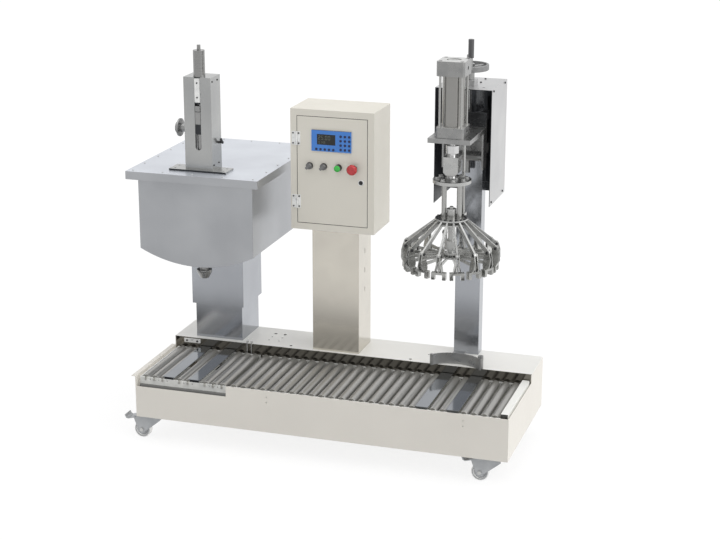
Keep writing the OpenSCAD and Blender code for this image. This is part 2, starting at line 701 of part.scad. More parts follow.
// Hinges: the door turns about an axis in front of the frame's edge
hinge_x = cab_x0 + cab_frame - 1.5;
hinge_y = cab_y - 5;
hinge_h = 59;
hinge_z = [cab_z1 - 127.5, cab_z1 - 404.5];
knuckle_d = 8;
hinge_pin_d = 5;
leaf_t = 2;
knuckle_h = 20;
module cabinet_box() at_bed() color("antiquewhite") {
  open = cab_frame - door_gap;
  back = cab_y + cab_dep;
  cab_x1 = cab_x0 + cab_w;
  rim_y = cab_y + door_dep + 4;
  stop_w = 10;
  cable = [120, 80];
  difference() {
    block([cab_x0, cab_y, cab_low], [cab_x1, back, cab_z1]);
    block([cab_x0 + cab_t, cab_y + cab_t, cab_low + cab_t], [cab_x1 - cab_t, back - cab_t, cab_z1 - cab_t]);
    block([cab_x0 + open, cab_y - cut, cab_low + open], [cab_x1 - open, cab_y + 2 * cab_t, cab_z1 - open]);
    block([control_x - cable[0] / 2, control_y + control_dep / 2 - cable[1] / 2, cab_low - cut],
          [control_x + cable[0] / 2, control_y + control_dep / 2 + cable[1] / 2, cab_low + 2 * cab_t]);
  }
  // Rim round the door, with the stop that the door's seal meets
  difference() {
    block([cab_x0 + open - cab_t, cab_y, cab_low + open - cab_t],
          [cab_x1 - open + cab_t, rim_y, cab_z1 - open + cab_t]);
    block([cab_x0 + open, cab_y - cut, cab_low + open], [cab_x1 - open, rim_y - cab_t, cab_z1 - open]);
    block([cab_x0 + open + stop_w, cab_y, cab_low + open + stop_w],
          [cab_x1 - open - stop_w, rim_y + cut, cab_z1 - open - stop_w]);
  }
  for (z = hinge_z) {
    block([cab_x0 + 6, cab_y - leaf_t, z - hinge_h / 2], [hinge_x - 3.5, cab_y, z + hinge_h / 2]);
    rod_z(z - hinge_h / 2, z + hinge_h / 2, hinge_x, hinge_y, hinge_pin_d);
    for (s = [-1, 1]) {
      low = s < 0 ? z - hinge_h / 2 : z + knuckle_h / 2;
      high = s < 0 ? z - knuckle_h / 2 : z + hinge_h / 2;
      rod_z(low, high, hinge_x, hinge_y, knuckle_d);
      block([hinge_x - 4.5, cab_y - 3, low], [hinge_x, cab_y, high]);
    }
  }
}

// What the door carries, measured from the cabinet's left edge and down from its top
switch_v = 244;
selector_u = [87, 150];
start_u = 217;
stop_u = 284;
panel_u = [97, 274];
panel_v = [86, 177];
lock_u = 317;
lock_v = 303;
lock_d = 18;
bezel_t = 4;
module cabinet_door() at_bed() color("antiquewhite") {
  play = 0.3;
  window_in = 8;
  difference() {
    union() {
      block([door_x0, cab_y, door_z0], [door_x0 + door_w, cab_y + cab_t, door_z1]);
      difference() {
        block([door_x0, cab_y, door_z0], [door_x0 + door_w, cab_y + door_dep, door_z1]);
        block([door_x0 + cab_t, cab_y + cab_t, door_z0 + cab_t],
              [door_x0 + door_w - cab_t, cab_y + door_dep + cut, door_z1 - cab_t]);
      }
      for (u = concat(selector_u, start_u, stop_u))
        rod_y(cab_y - bezel_t, cab_y, cab_x0 + u, cab_z1 - switch_v, switch_d + 8);
      rod_y(cab_y - bezel_t, cab_y, cab_x0 + lock_u, cab_z1 - lock_v, lock_d + 8);
    }
    for (u = concat(selector_u, start_u, stop_u))
      rod_y(cab_y - bezel_t - cut, cab_y + cab_t + cut, cab_x0 + u, cab_z1 - switch_v, switch_d);
    rod_y(cab_y - bezel_t - cut, cab_y + cab_t + cut, cab_x0 + lock_u, cab_z1 - lock_v, lock_d);
    block([cab_x0 + panel_u[0] + window_in, cab_y - cut, cab_z1 - panel_v[1] + window_in],
          [cab_x0 + panel_u[1] - window_in, cab_y + cab_t + cut, cab_z1 - panel_v[0] - window_in]);
  }
  for (z = hinge_z) difference() {
    union() {
      block([hinge_x + 3.5, cab_y - leaf_t, z - hinge_h / 2], [hinge_x + 15.5, cab_y, z + hinge_h / 2]);
      rod_z(z - knuckle_h / 2 + play, z + knuckle_h / 2 - play, hinge_x, hinge_y, knuckle_d);
      block([hinge_x, cab_y - 3, z - knuckle_h / 2 + play],
            [hinge_x + 4.5, cab_y - 0.5, z + knuckle_h / 2 - play]);
    }
    rod_z(z - knuckle_h, z + knuckle_h, hinge_x, hinge_y, hinge_pin_d + 2 * run_fit);
  }
}

module display_panel() at_bed() color("royalblue") {
  panel_t = 6;
  window_in = 8.5;
  x0 = cab_x0 + panel_u[0];
  x1 = cab_x0 + panel_u[1];
  z0 = cab_z1 - panel_v[1];
  z1 = cab_z1 - panel_v[0];
  key_d = 11;
  key_t = 1.5;
  key_pitch = 19;
  difference() {
    block([x0, cab_y - panel_t, z0], [x1, cab_y, z1]);
    block([x0 + 25, cab_y - panel_t - cut, z1 - 62], [x0 + 107, cab_y - panel_t + 2, z1 - 17]);
  }
  block([x0 + window_in, cab_y, z0 + window_in], [x1 - window_in, cab_y + 12, z1 - window_in]);
  for (c = [0 : 2], r = [0 : 3])
    rod_y(cab_y - panel_t - key_t, cab_y - panel_t, x1 - 46 + c * key_pitch, z1 - 22 - r * key_pitch, key_d);
  for (c = [0 : 4])
    rod_y(cab_y - panel_t - key_t, cab_y - panel_t, x0 + 22 + c * key_pitch, z0 + 9, key_d);
}

// A switch's round body in its hole, with a collar behind the door
module switch_body(u, front, back) {
  rod_y(front, back, cab_x0 + u, cab_z1 - switch_v, switch_d - 2 * run_fit);
  rod_y(cab_y + cab_t + 0.3, cab_y + cab_t + 3, cab_x0 + u, cab_z1 - switch_v, switch_d + 4);
}

module selector(u) at_bed() color("dimgray") {
  x = cab_x0 + u;
  z = cab_z1 - switch_v;
  grip = [12, 27];
  switch_body(u, cab_y - bezel_t - 2, cab_y + 14);
  rod_y(cab_y - 13, cab_y - bezel_t - 0.4, x, z, switch_d + 6);
  // The grip slants up to the right, and its ends are round
  intersection() {
    rod_y(cab_y - 29, cab_y - 12, x, z, grip[1]);
    translate([x, cab_y - 20, z]) rotate([0, 45, 0]) cube([grip[0], 30, 2 * grip[1]], center = true);
  }
}
module selector_left() selector(selector_u[0]);
module selector_right() selector(selector_u[1]);

module start_button() at_bed() color("limegreen") {
  x = cab_x0 + start_u;
  z = cab_z1 - switch_v;
  switch_body(start_u, cab_y - 20, cab_y + 14);
  rod_y(cab_y - 24, cab_y - bezel_t - 5, x, z, switch_d + 6);
  translate([x, cab_y - 24, z]) rotate([90, 0, 0]) cylinder(d1 = switch_d + 6, d2 = switch_d + 1, h = 2);
}

module stop_button() at_bed() color("crimson") {
  head_d = 44;
  x = cab_x0 + stop_u;
  z = cab_z1 - switch_v;
  switch_body(stop_u, cab_y - 22, cab_y + 14);
  rod_y(cab_y - 22, cab_y - bezel_t - 6, x, z, head_d - 10);
  rod_y(cab_y - 33, cab_y - 21, x, z, head_d);
  translate([x, cab_y - 33, z]) rotate([90, 0, 0]) cylinder(d1 = head_d, d2 = head_d - 10, h = 7);
}

module door_lock() at_bed() color("black") {
  x = cab_x0 + lock_u;
  z = cab_z1 - lock_v;
  tongue_y = cab_y + door_dep + 4.6;
  difference() {
    rod_y(cab_y - bezel_t - 2, tongue_y + 3, x, z, lock_d - 2 * run_fit);
    block([x - 1.5, cab_y - bezel_t - 2 - cut, z - 5], [x + 1.5, cab_y - bezel_t + 1, z + 5]);
  }
  // The tongue hangs down, clear of the cabinet's rim, until the lock is turned
  block([x - 6, tongue_y, z - 36], [x + 6, tongue_y + 3, z]);
}

module controller_plate() at_bed() color("silver") {
  back = cab_y + cab_dep - cab_t;
  post = 18;
  plate_t = 2;
  x0 = cab_x0 + 40;
  x1 = cab_x0 + cab_w - 40;
  z0 = cab_low + 50;
  z1 = cab_z1 - 50;
  y = back - post - plate_t;
  block([x0, y, z0], [x1, y + plate_t, z1]);
  for (x = [x0 + 15, x1 - 15], z = [z0 + 15, z1 - 15]) rod_y(y + plate_t, back, x, z, 10);
  // Power supply, controller and relays on their rail
  block([x0 + 20, y - 45, z1 - 150], [x0 + 120, y, z1 - 30]);
  block([x0 + 150, y - 60, z1 - 150], [x1 - 20, y, z1 - 30]);
  block([x0 + 20, y - 8, z0 + 120], [x1 - 20, y, z0 + 155]);
  for (i = [0 : 8]) block([x0 + 30 + i * 24, y - 60, z0 + 100], [x0 + 50 + i * 24, y - 8, z0 + 175]);
}

// Press: a screw lifts the carriage on its column, with the cylinder on the carriage
col_y0 = col_y1 - col_dep;
cover_t = 3;
screw_y = col_y0 - 45;
carriage_y = screw_y - 45;
carriage_back = 12;
carriage_up = 60;
carriage_down = 125;
barrel_z = carriage_z + carriage_t + 44;
head_z = barrel_z + cyl_barrel;
cyl_top = head_z + 61;
guide_x = 32;
guide_y = cyl_w / 2 + 8;
crown_travel = 150;
module press_column() at_bed() color("silver")
  tube_z([press_x - col_w / 2, col_y0, deck_h], [press_x + col_w / 2, col_y1, col_h], tube_t);

bearing_h = 25;
module press_cover() at_bed() color("gainsboro") difference() {
  bearing = 60;
  back = cover_y + cover_dep;
  union() {
    translate([press_x, 0, 0]) {
      for (x = [-cover_w / 2, cover_w / 2 - cover_t])
        block([x, cover_y, cover_low], [x + cover_t, back, cover_top]);
      block([-cover_w / 2, back - cover_t, cover_low], [cover_w / 2, back, cover_top]);
      // Brackets that hang the cover on the column's sides
      for (z = [cover_low + 30, cover_top - 60], s = [-1, 1])
        block([s < 0 ? cut - cover_w / 2 : col_w / 2, col_y1 - 12, z],
              [s < 0 ? -col_w / 2 : cover_w / 2 - cut, col_y1 - 8, z + 30]);
      block([-cover_w / 2, cover_y, cover_top - cover_t], [cover_w / 2, back, cover_top]);
      block([-bearing / 2, screw_y - bearing / 2, cover_top],
            [bearing / 2, screw_y + bearing / 2, cover_top + bearing_h]);
    }
  }
  rod_z(cover_top - cover_t - cut, cover_top + bearing_h + cut, press_x, screw_y, screw_d + 2 * run_fit);
  for (h = [[52, -62, 11], [72, -42, 14]])
    rod_z(cover_top - cover_t - cut, cover_top + cut, press_x + h[0], screw_y + h[1], h[2]);
}

module press_carriage() at_bed() color("silver") translate([press_x, 0, 0]) difference() {
  low = carriage_z - carriage_down;
  high = carriage_z + carriage_t + carriage_up;
  back = carriage_y + carriage_back;
  gusset_t = 8;
  gusset_w = 46;
  shoe_t = 14;
  near = col_w / 2 + slide_fit;
  union() {
    block([-carriage_w / 2, press_y - cyl_w / 2 - 7, carriage_z],
          [carriage_w / 2, back, carriage_z + carriage_t]);
    block([-carriage_w / 2, carriage_y, low], [carriage_w / 2, back, high]);
    // Side plates with a tie bar between them
    for (x = [-carriage_w / 2, carriage_w / 2 - gusset_t])
      block([x, carriage_y - gusset_w, low - 29], [x + gusset_t, back, carriage_z + cut]);
    rod_x(gusset_t / 2 - carriage_w / 2, carriage_w / 2 - gusset_t / 2, carriage_y - 15, low + 19, 34);
    // Nut for the lifting screw
    block([-28, back - cut, carriage_z - 70], [28, screw_y + 28, carriage_z - 10]);
    // Shoes that run on the front and the sides of the column
    for (z = [low + 10, high - 50], s = [-1, 1]) {
      block([s < 0 ? -near - shoe_t : near, back - cut, z],
            [s < 0 ? -near : near + shoe_t, col_y0 + 40, z + 40]);
      block([s < 0 ? -50 : 34, back - cut, z], [s < 0 ? -34 : 50, col_y0 - slide_fit, z + 40]);
    }
  }
  rod_z(carriage_z - cut, carriage_z + carriage_t + cut, 0, press_y, rod_d + 2 * run_fit);
  for (x = [-guide_x, guide_x])
    rod_z(carriage_z - cut, carriage_z + carriage_t + cut, x, press_y + guide_y, guide_d + 2 * run_fit);
  rod_z(carriage_z - 70 - cut, carriage_z - 10 + cut, 0, screw_y, screw_d + 2 * run_fit);
}

// A head is square with its corners cut off
module head_outline() {
  half = cyl_w / 2;
  flat = half - 8;
  polygon([[-half, -flat], [-flat, -half], [flat, -half], [half, -flat],
           [half, flat], [flat, half], [-flat, half], [-half, flat]]);
}
module press_cylinder() at_bed() color("lightslategray") translate([press_x, press_y, 0]) {
  tie_d = 10;
  tie_in = 14;
  barrel_d = cyl_bore + 12;
  difference() {
    union() {
      translate([0, 0, carriage_z + carriage_t])
        linear_extrude(barrel_z - carriage_z - carriage_t) head_outline();
      translate([0, 0, head_z]) linear_extrude(cyl_top - head_z) head_outline();
      rod_z(barrel_z, head_z, 0, 0, barrel_d);
    }
    rod_z(barrel_z, head_z + 2, 0, 0, cyl_bore);
    rod_z(carriage_z + carriage_t - cut, barrel_z + cut, 0, 0, rod_d + 2 * run_fit);
    // Air ports in the right sides of the heads, and the recesses in the top
    for (z = [carriage_z + carriage_t + 22, head_z + 30]) rod_x(cyl_w / 2 - 14, cyl_w / 2 + cut, 0, z, 16);
    rod_z(cyl_top - 3, cyl_top + cut, 0, 0, 60);
    for (x = [-1, 1], y = [-1, 1])
      rod_z(cyl_top - 12, cyl_top + cut, x * (cyl_w / 2 - tie_in), y * (cyl_w / 2 - tie_in), 16);
  }
  for (x = [-1, 1], y = [-1, 1])
    rod_z(barrel_z, head_z, x * (cyl_w / 2 - tie_in), y * (cyl_w / 2 - tie_in), tie_d);
}

// Crown: a plunger in its hub swings all the claws together
disc_t = 14;
disc_top = disc_z + disc_t;
block_z = disc_top + 19;
block_w = 62;
block_h = 77;
module press_rod() at_bed() color("silver") translate([press_x, press_y, 0]) {
  piston_h = 18;
  rod_z(disc_top, head_z - cut, 0, 0, rod_d);
  rod_z(head_z - 2 - piston_h, head_z - 2, 0, 0, cyl_bore - 2 * run_fit);
  rod_z(block_z + block_h + 14, block_z + block_h + 46, 0, 0, 54);
  difference() {
    front_plate(-block_w / 2, block_w / 2) polygon([
      [-block_w / 2, block_z + 12], [12 - block_w / 2, block_z], [block_w / 2 - 12, block_z],
      [block_w / 2, block_z + 12], [block_w / 2, block_z + block_h], [-block_w / 2, block_z + block_h]]);
    // Window that shows the joint between the rod and the crown's stud
    block([-block_w, -block_w / 4, block_z + 20], [block_w, block_w / 4, block_z + block_h - 20]);
  }
  rod_z(block_z + 18, block_z + block_h - 18, 0, 0, rod_d + 8);
  rod_z(disc_top, disc_top + 8, 0, 0, 54);
}

ring_t = 6;
ring_gap = 12;
boss_top = hub_z + 54;
hub_boss_d = 40;
spoke_r0 = hub_d / 2 - 4;
spoke_z0 = hub_z + ring_t + ring_gap / 2 - 3;
spoke_len = norm([claw_r - spoke_r0, claw_z - spoke_z0]);
spoke_tilt = atan2(claw_z - spoke_z0, claw_r - spoke_r0);
pin_len = claw_gap + 2 * cheek_t + 4;
// A spoke in the plane of its claw: root between the rings, bar and round end
module spoke() {
  rotate([90, 0, 0]) translate([0, 0, -spoke_w / 2]) linear_extrude(spoke_w) {
    translate([hub_boss_d / 2 - 4, hub_z + ring_t - cut])
      square([hub_d / 2 - hub_boss_d / 2, ring_gap + 2 * cut]);
    translate([spoke_r0, spoke_z0]) rotate(spoke_tilt) translate([-6, -spoke_h / 2])
      square([spoke_len + 6, spoke_h]);
    translate([claw_r, claw_z]) circle(d = spoke_h + 2);
  }
  translate([claw_r, 0, claw_z]) {
    rod_y(-pin_len / 2, pin_len / 2, 0, 0, pin_d);
    for (s = [-1, 1]) rod_y(s > 0 ? pin_len / 2 - 1.7 : -pin_len / 2 - 0.3,
                            s > 0 ? pin_len / 2 + 0.3 : -pin_len / 2 + 1.7, 0, 0, pin_d + 4);
  }
}

module crown_frame() at_bed() color("gainsboro") translate([press_x, press_y, 0]) {
  post_d = 21;
  ring_top = hub_z + 2 * ring_t + ring_gap;
  rod_z(disc_z, disc_top, 0, 0, disc_d);
  // The right guide rod goes on down to a foot on the hub's upper ring
  for (x = [-guide_x, guide_x])
    rod_z(x > 0 ? ring_top + cut : disc_z + cut, carriage_z + carriage_t + crown_travel + 30,
          x, guide_y, guide_d);
  block([guide_x - 13, 40, ring_top - ring_t + cut], [guide_x + 13, guide_y + 11, ring_top + 9]);
  for (x = [-guide_x, guide_x]) rod_z(hub_z + ring_t + ring_gap + cut, disc_z + cut, x, 0, post_d);
  difference() {
    union() {
      rod_z(hub_z - 8, boss_top, 0, 0, hub_boss_d);
      for (z = [hub_z, hub_z + ring_t + ring_gap]) rod_z(z, z + ring_t, 0, 0, hub_d);
    }
    rod_z(hub_z - 8 - cut, boss_top + cut, 0, 0, plunger_d + 2 * run_fit);
  }
  for (i = [0 : 15]) rotate([0, 0, i * 22.5 - 90]) spoke();
}

groove_core = 15.5;
groove_flange = 30;
arm_tip = 4.5;
groove_h = arm_tip + 0.5;
module crown_plunger() at_bed() color("silver") translate([press_x, press_y, 0]) rotate_extrude() polygon([
  [0, arm_z - groove_h - 8], [groove_flange, arm_z - groove_h - 8], [groove_flange, arm_z - groove_h],
  [groove_core, arm_z - groove_h], [groove_core, arm_z + groove_h],
  [groove_flange, arm_z + groove_h], [groove_flange, arm_z + groove_h + 8],
  [plunger_d / 2, arm_z + groove_h + 8], [plunger_d / 2, claw_z - 18], [plunger_d / 2 + 12, claw_z - 18],
  [plunger_d / 2 + 12, claw_z + 19], [plunger_d / 2, claw_z + 19], [plunger_d / 2, boss_top],
  [plunger_d / 2 + 7, boss_top], [plunger_d / 2 + 7, boss_top + 9], [8, boss_top + 9],
  [8, boss_top + 18], [0, boss_top + 18]]);

// A claw hangs on its pin at the origin here, with the crown's middle towards +Y
arm_y = claw_r - arm_tip_r;
arm_low = arm_z - claw_z;
jaw_h = 22;
jaw_t = 9;
jaw_z = jaw_h + jaw_t - claw_h;
pad_w = 14;
module claw_side() {
  circle(r = 11);
  polygon([[-11, 0], [11, 0], [claw_dep / 2, -22], [claw_dep / 2, jaw_z + 12], [13, jaw_z], [13, -claw_h],
           [-7, -claw_h], [-9, 3 - claw_h], [-9, jaw_z], [-claw_dep / 2, jaw_z + 12], [-claw_dep / 2, -22]]);
}
// The legs part below the waist and end on the jaw's bar, with a pad under each end
module claw_front() {
  half = claw_gap / 2 + cheek_t;
  low = jaw_h - claw_h;
  polygon([[-half, 12], [half, 12], [half, -20], [half - 1, -26], [half, -32], [foot_w / 2, jaw_z],
           [jaw_w / 2, jaw_z], [jaw_w / 2, -claw_h], [jaw_w / 2 - pad_w, -claw_h], [jaw_w / 2 - pad_w, low],
           [pad_w - jaw_w / 2, low], [pad_w - jaw_w / 2, -claw_h], [-jaw_w / 2, -claw_h],
           [-jaw_w / 2, jaw_z], [-foot_w / 2, jaw_z], [-half, -32], [1 - half, -26], [-half, -20]]);
}
module claw_opening() {
  waist = arm_t / 2 + 0.5;
  leg = foot_w / 2 - cheek_t - 1;
  polygon([[-claw_gap / 2, 20], [claw_gap / 2, 20], [claw_gap / 2, -20], [waist, -26], [waist, -31],
           [leg, jaw_z], [-leg, jaw_z], [-waist, -31], [-waist, -26], [-claw_gap / 2, -20]]);
}
module claw(i) at_bed() color("silver")
  translate([press_x, press_y, claw_z]) rotate([0, 0, (i - 1) * 22.5]) translate([0, -claw_r, 0]) {
    difference() {
      intersection() {
        side_plate(-jaw_w / 2, jaw_w / 2) claw_side();
        front_plate(-claw_dep, claw_dep) claw_front();
      }
      front_plate(-claw_dep, claw_dep) claw_opening();
      rod_x(-foot_w, foot_w, 0, 0, pin_d + 2 * run_fit);
    }
    // Arm that reaches in to the plunger's groove
    side_plate(-arm_t / 2, arm_t / 2) {
      polygon([[-7, jaw_z - 4], [11, jaw_z - 4], [claw_dep / 2 + 3, arm_low - 6],
               [arm_y - 17, arm_low - 6], [arm_y - 11, arm_low - 3], [arm_y, arm_low - 3],
               [arm_y, arm_low + 3], [arm_y - 11, arm_low + 3], [arm_y - 17, arm_low + 6],
               [-10, arm_low + 8]]);
      translate([arm_y, arm_low]) circle(r = arm_tip);
    }
  }

// Handwheel with the lifting screw, and a crank grip on its rim
rim_t = 10;
rim_h = 24;
crank_turn = 18;
wheel_z0 = cover_top + 77;
grip_z0 = wheel_z0 + 50;
module handwheel() at_bed() color("dimgray") translate([press_x, screw_y, 0]) {
  rim_r = handwheel_d / 2 - rim_t / 2;
  screw_low = carriage_z - 190;
  rod_z(screw_low, grip_z0, 0, 0, screw_d);
  rod_z(cover_top + bearing_h + 0.3, wheel_z0 + 14, 0, 0, screw_d + 20);
  translate([0, 0, wheel_z0]) rotate_extrude() polygon([
    [rim_r - rim_t / 2, -rim_h / 2], [rim_r + rim_t / 2 - 2, -rim_h / 2],
    [rim_r + rim_t / 2, 2 - rim_h / 2], [rim_r + rim_t / 2, rim_h / 2 - 2],
    [rim_r + rim_t / 2 - 2, rim_h / 2], [rim_r - rim_t / 2, rim_h / 2]]);
  for (a = [30, 150, 270]) rotate([0, 0, a + crank_turn]) rod_x(0, rim_r, 0, wheel_z0, 12);
  rotate([0, 0, crank_turn]) {
    rod_z(wheel_z0, grip_z0 + cut, 0, -rim_r, grip_d - 8);
    rod_z(grip_z0, grip_z0 + grip_h, 0, -rim_r, grip_d);
  }
}

// Pail locator: two curved wings behind the pressing place
locator_y = 462;
module pail_locator() at_bed() color("lightsteelblue") translate([press_x, 0, 0]) {
  wing_t = 5;
  half = locator_w / 2;
  roll_d = 14;
  block_wide = 52;
  roll_y = locator_y + wing_t / 2 - pail_r + sqrt((pail_r + wing_t / 2) ^ 2 - half ^ 2);
  difference() {
    block([-block_wide / 2, locator_y, deck_h], [block_wide / 2, locator_y + 34, deck_h + locator_h]);
    rod_y(locator_y - cut, locator_y + 35, 0, deck_h + locator_h / 2, 12);
  }
  intersection() {
    translate([0, locator_y - pail_r, deck_h]) difference() {
      cylinder(r = pail_r + wing_t, h = locator_h);
      translate([0, 0, -cut]) cylinder(r = pail_r, h = locator_h + 2 * cut);
    }
    block([-half, locator_y - pail_r, deck_h - cut], [half, locator_y + 34, deck_h + locator_h + cut]);
  }
  for (x = [-half, half]) rod_z(deck_h, deck_h + locator_h, x, roll_y, roll_d);
  // Pin block behind the right wing
  difference() {
    rod_z(deck_h, deck_h + locator_h + 8, half - 2, roll_y + roll_d + 2, 24);
    rod_z(deck_h + locator_h - 6, deck_h + locator_h + 8 + cut, half - 2, roll_y + roll_d + 2, 12);
  }
}

base_shell();
rear_deck();
scale_base();
scale_frame();
bed_rails();
bed_plates();
end_stop();
rollers();
caster_plates();
caster_fork(0);  // caster_fork_fl
caster_fork(1);  // caster_fork_fr
caster_fork(2);  // caster_fork_rl
caster_fork(3);  // caster_fork_rr
caster_wheel(0);  // caster_wheel_fl
caster_wheel(1);  // caster_wheel_fr
caster_wheel(2);  // caster_wheel_rl
caster_wheel(3);  // caster_wheel_rr
fill_post();
fill_sleeve();
hood_shell();
hood_lid();
nozzle_stand();
lift_cylinder();
nozzle_carriage();
fill_pipe();
control_column();
cabinet_box();
cabinet_door();
display_panel();
selector_left();
selector_right();
start_button();
stop_button();
door_lock();
controller_plate();
press_column();
press_cover();
press_carriage();
press_cylinder();
press_rod();
crown_frame();
crown_plunger();
handwheel();
pail_locator();
claw(1);  // claw_01
claw(2);  // claw_02
claw(3);  // claw_03
claw(4);  // claw_04
claw(5);  // claw_05
claw(6);  // claw_06
claw(7);  // claw_07
claw(8);  // claw_08
claw(9);  // claw_09
claw(10);  // claw_10
claw(11);  // claw_11
claw(12);  // claw_12
claw(13);  // claw_13
claw(14);  // claw_14
claw(15);  // claw_15
claw(16);  // claw_16
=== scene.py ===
import json
import math

import bmesh
import bpy
from mathutils import Matrix, Vector

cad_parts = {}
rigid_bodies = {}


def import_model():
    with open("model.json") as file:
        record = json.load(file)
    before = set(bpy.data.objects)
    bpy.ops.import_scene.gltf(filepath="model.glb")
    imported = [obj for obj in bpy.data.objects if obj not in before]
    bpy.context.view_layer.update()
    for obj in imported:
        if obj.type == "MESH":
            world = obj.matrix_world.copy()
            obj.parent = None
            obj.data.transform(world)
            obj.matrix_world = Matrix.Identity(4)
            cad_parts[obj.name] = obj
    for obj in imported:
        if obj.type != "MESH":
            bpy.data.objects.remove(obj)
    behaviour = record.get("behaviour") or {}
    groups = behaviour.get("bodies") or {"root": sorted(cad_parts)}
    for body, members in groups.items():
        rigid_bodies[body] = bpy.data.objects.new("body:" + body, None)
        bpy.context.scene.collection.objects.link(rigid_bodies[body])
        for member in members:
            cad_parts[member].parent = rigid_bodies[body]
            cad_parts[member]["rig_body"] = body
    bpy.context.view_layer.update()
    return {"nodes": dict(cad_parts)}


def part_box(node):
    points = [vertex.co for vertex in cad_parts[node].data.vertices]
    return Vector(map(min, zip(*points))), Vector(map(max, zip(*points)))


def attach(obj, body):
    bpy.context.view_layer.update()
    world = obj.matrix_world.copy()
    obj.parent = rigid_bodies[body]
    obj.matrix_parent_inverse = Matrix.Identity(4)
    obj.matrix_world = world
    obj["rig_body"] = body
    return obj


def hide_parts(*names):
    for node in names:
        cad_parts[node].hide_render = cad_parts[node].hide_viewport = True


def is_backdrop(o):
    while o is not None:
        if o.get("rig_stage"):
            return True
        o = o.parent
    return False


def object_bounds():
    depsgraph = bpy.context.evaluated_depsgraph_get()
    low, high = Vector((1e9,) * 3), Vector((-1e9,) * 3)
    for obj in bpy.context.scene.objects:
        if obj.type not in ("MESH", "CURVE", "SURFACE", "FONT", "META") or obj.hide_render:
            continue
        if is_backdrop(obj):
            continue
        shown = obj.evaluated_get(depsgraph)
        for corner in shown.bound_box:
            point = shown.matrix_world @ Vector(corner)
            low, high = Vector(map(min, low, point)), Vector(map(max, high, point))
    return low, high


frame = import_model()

print("frame loaded:", len(frame["nodes"]), "nodes")

# Places are millimetres on the bed: the origin is the chassis' front left corner,
# X runs along the bed, Y towards the columns and Z up from the chassis floor.
# Mesh tolerances, edge rounds and the studio are in metres.
bed = {"length": 1650}
shellLow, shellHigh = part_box("base_shell")
bedZero = Vector((shellHigh.x - bed["length"] / 1000, shellLow.y, shellLow.z))


def onBed(x, y, z):
    return bedZero + Vector((x, y, z)) / 1000


def inBed(point):
    return (point - bedZero) * 1000


def bedBox(node):
    low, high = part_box(node)
    return inBed(low), inBed(high)


# Materials
noiseReach = {"low": 0.3, "high": 0.7}  # nearly all values of the noise lie between these


def srgb(red, green, blue):
    return tuple((c / 255 / 12.92) if c < 10.3 else ((c / 255 + 0.055) / 1.055) ** 2.4
                 for c in (red, green, blue)) + (1.0,)


def shaded(colour, share):
    return tuple(c * share for c in colour[:3]) + (1.0,)


def startCoat(name, metal, rough):
    coat = bpy.data.materials.new(name)
    coat.use_nodes = True
    shader = coat.node_tree.nodes["Principled BSDF"]
    shader.inputs["Metallic"].default_value = metal
    shader.inputs["Roughness"].default_value = rough
    return coat, coat.node_tree, shader


def noiseOf(tree, scale, detail=3.0):
    # noise in object space; a low scale along one axis draws it out into grain
    place = tree.nodes.new("ShaderNodeTexCoord")
    mapping = tree.nodes.new("ShaderNodeMapping")
    mapping.inputs["Scale"].default_value = scale
    noise = tree.nodes.new("ShaderNodeTexNoise")
    noise.inputs["Scale"].default_value = 1.0
    noise.inputs["Detail"].default_value = detail
    tree.links.new(place.outputs["Object"], mapping.inputs["Vector"])
    tree.links.new(mapping.outputs["Vector"], noise.inputs["Vector"])
    return noise.outputs["Fac"]


def evenNoise(tree, scale, detail=3.0):
    return noiseOf(tree, (scale,) * 3, detail)


def ranged(tree, value, low, high):
    ranger = tree.nodes.new("ShaderNodeMapRange")
    ranger.inputs["From Min"].default_value = noiseReach["low"]
    ranger.inputs["From Max"].default_value = noiseReach["high"]
    ranger.inputs["To Min"].default_value = low
    ranger.inputs["To Max"].default_value = high
    tree.links.new(value, ranger.inputs["Value"])
    return ranger.outputs["Result"]


def blendOf(tree, value, first, second):
    ramp = tree.nodes.new("ShaderNodeValToRGB")
    for element, colour, end in zip(ramp.color_ramp.elements, (first, second), ("low", "high")):
        element.color = colour
        element.position = noiseReach[end]
    tree.links.new(value, ramp.inputs["Fac"])
    return ramp.outputs["Color"]


def multiplied(tree, first, second):
    mix = tree.nodes.new("ShaderNodeMix")
    mix.data_type = "RGBA"
    mix.blend_type = "MULTIPLY"
    mix.inputs[0].default_value = 1.0
    tree.links.new(first, mix.inputs[6])
    tree.links.new(second, mix.inputs[7])
    return mix.outputs[2]


def bumped(tree, shader, height, strength, distance):
    bump = tree.nodes.new("ShaderNodeBump")
    bump.inputs["Strength"].default_value = strength
    bump.inputs["Distance"].default_value = distance
    tree.links.new(height, bump.inputs["Height"])
    tree.links.new(bump.outputs["Normal"], shader.inputs["Normal"])


# Brushed stainless sheet: long scratches along one axis, faint clouding across the sheet
grain = {"across": 900.0, "along": 9.0, "cloud": 5.0, "shade": srgb(240, 240, 241),
         "darker": 0.04, "lighter": 0.02, "smoother": 0.03, "rougher": 0.04, "bump": 0.1, "depth": 0.00003}


def brushedSteel(name, colour, rough=0.3, metal=0.8, along="z", streak=1.0):
    coat, tree, shader = startCoat(name, metal, rough)
    scale = [grain["along"] if axis == along else grain["across"] for axis in "xyz"]
    lines = noiseOf(tree, scale, 4.0)
    cloud = evenNoise(tree, grain["cloud"], 2.0)
    streaks = blendOf(tree, lines, shaded(colour, 1 - grain["darker"] * streak),
                      shaded(colour, 1 + grain["lighter"] * streak))
    clouding = blendOf(tree, cloud, grain["shade"], srgb(255, 255, 255))
    tree.links.new(multiplied(tree, streaks, clouding), shader.inputs["Base Color"])
    tree.links.new(ranged(tree, lines, rough - grain["smoother"] * streak, rough + grain["rougher"] * streak),
                   shader.inputs["Roughness"])
    bumped(tree, shader, lines, grain["bump"] * streak, grain["depth"])
    return coat


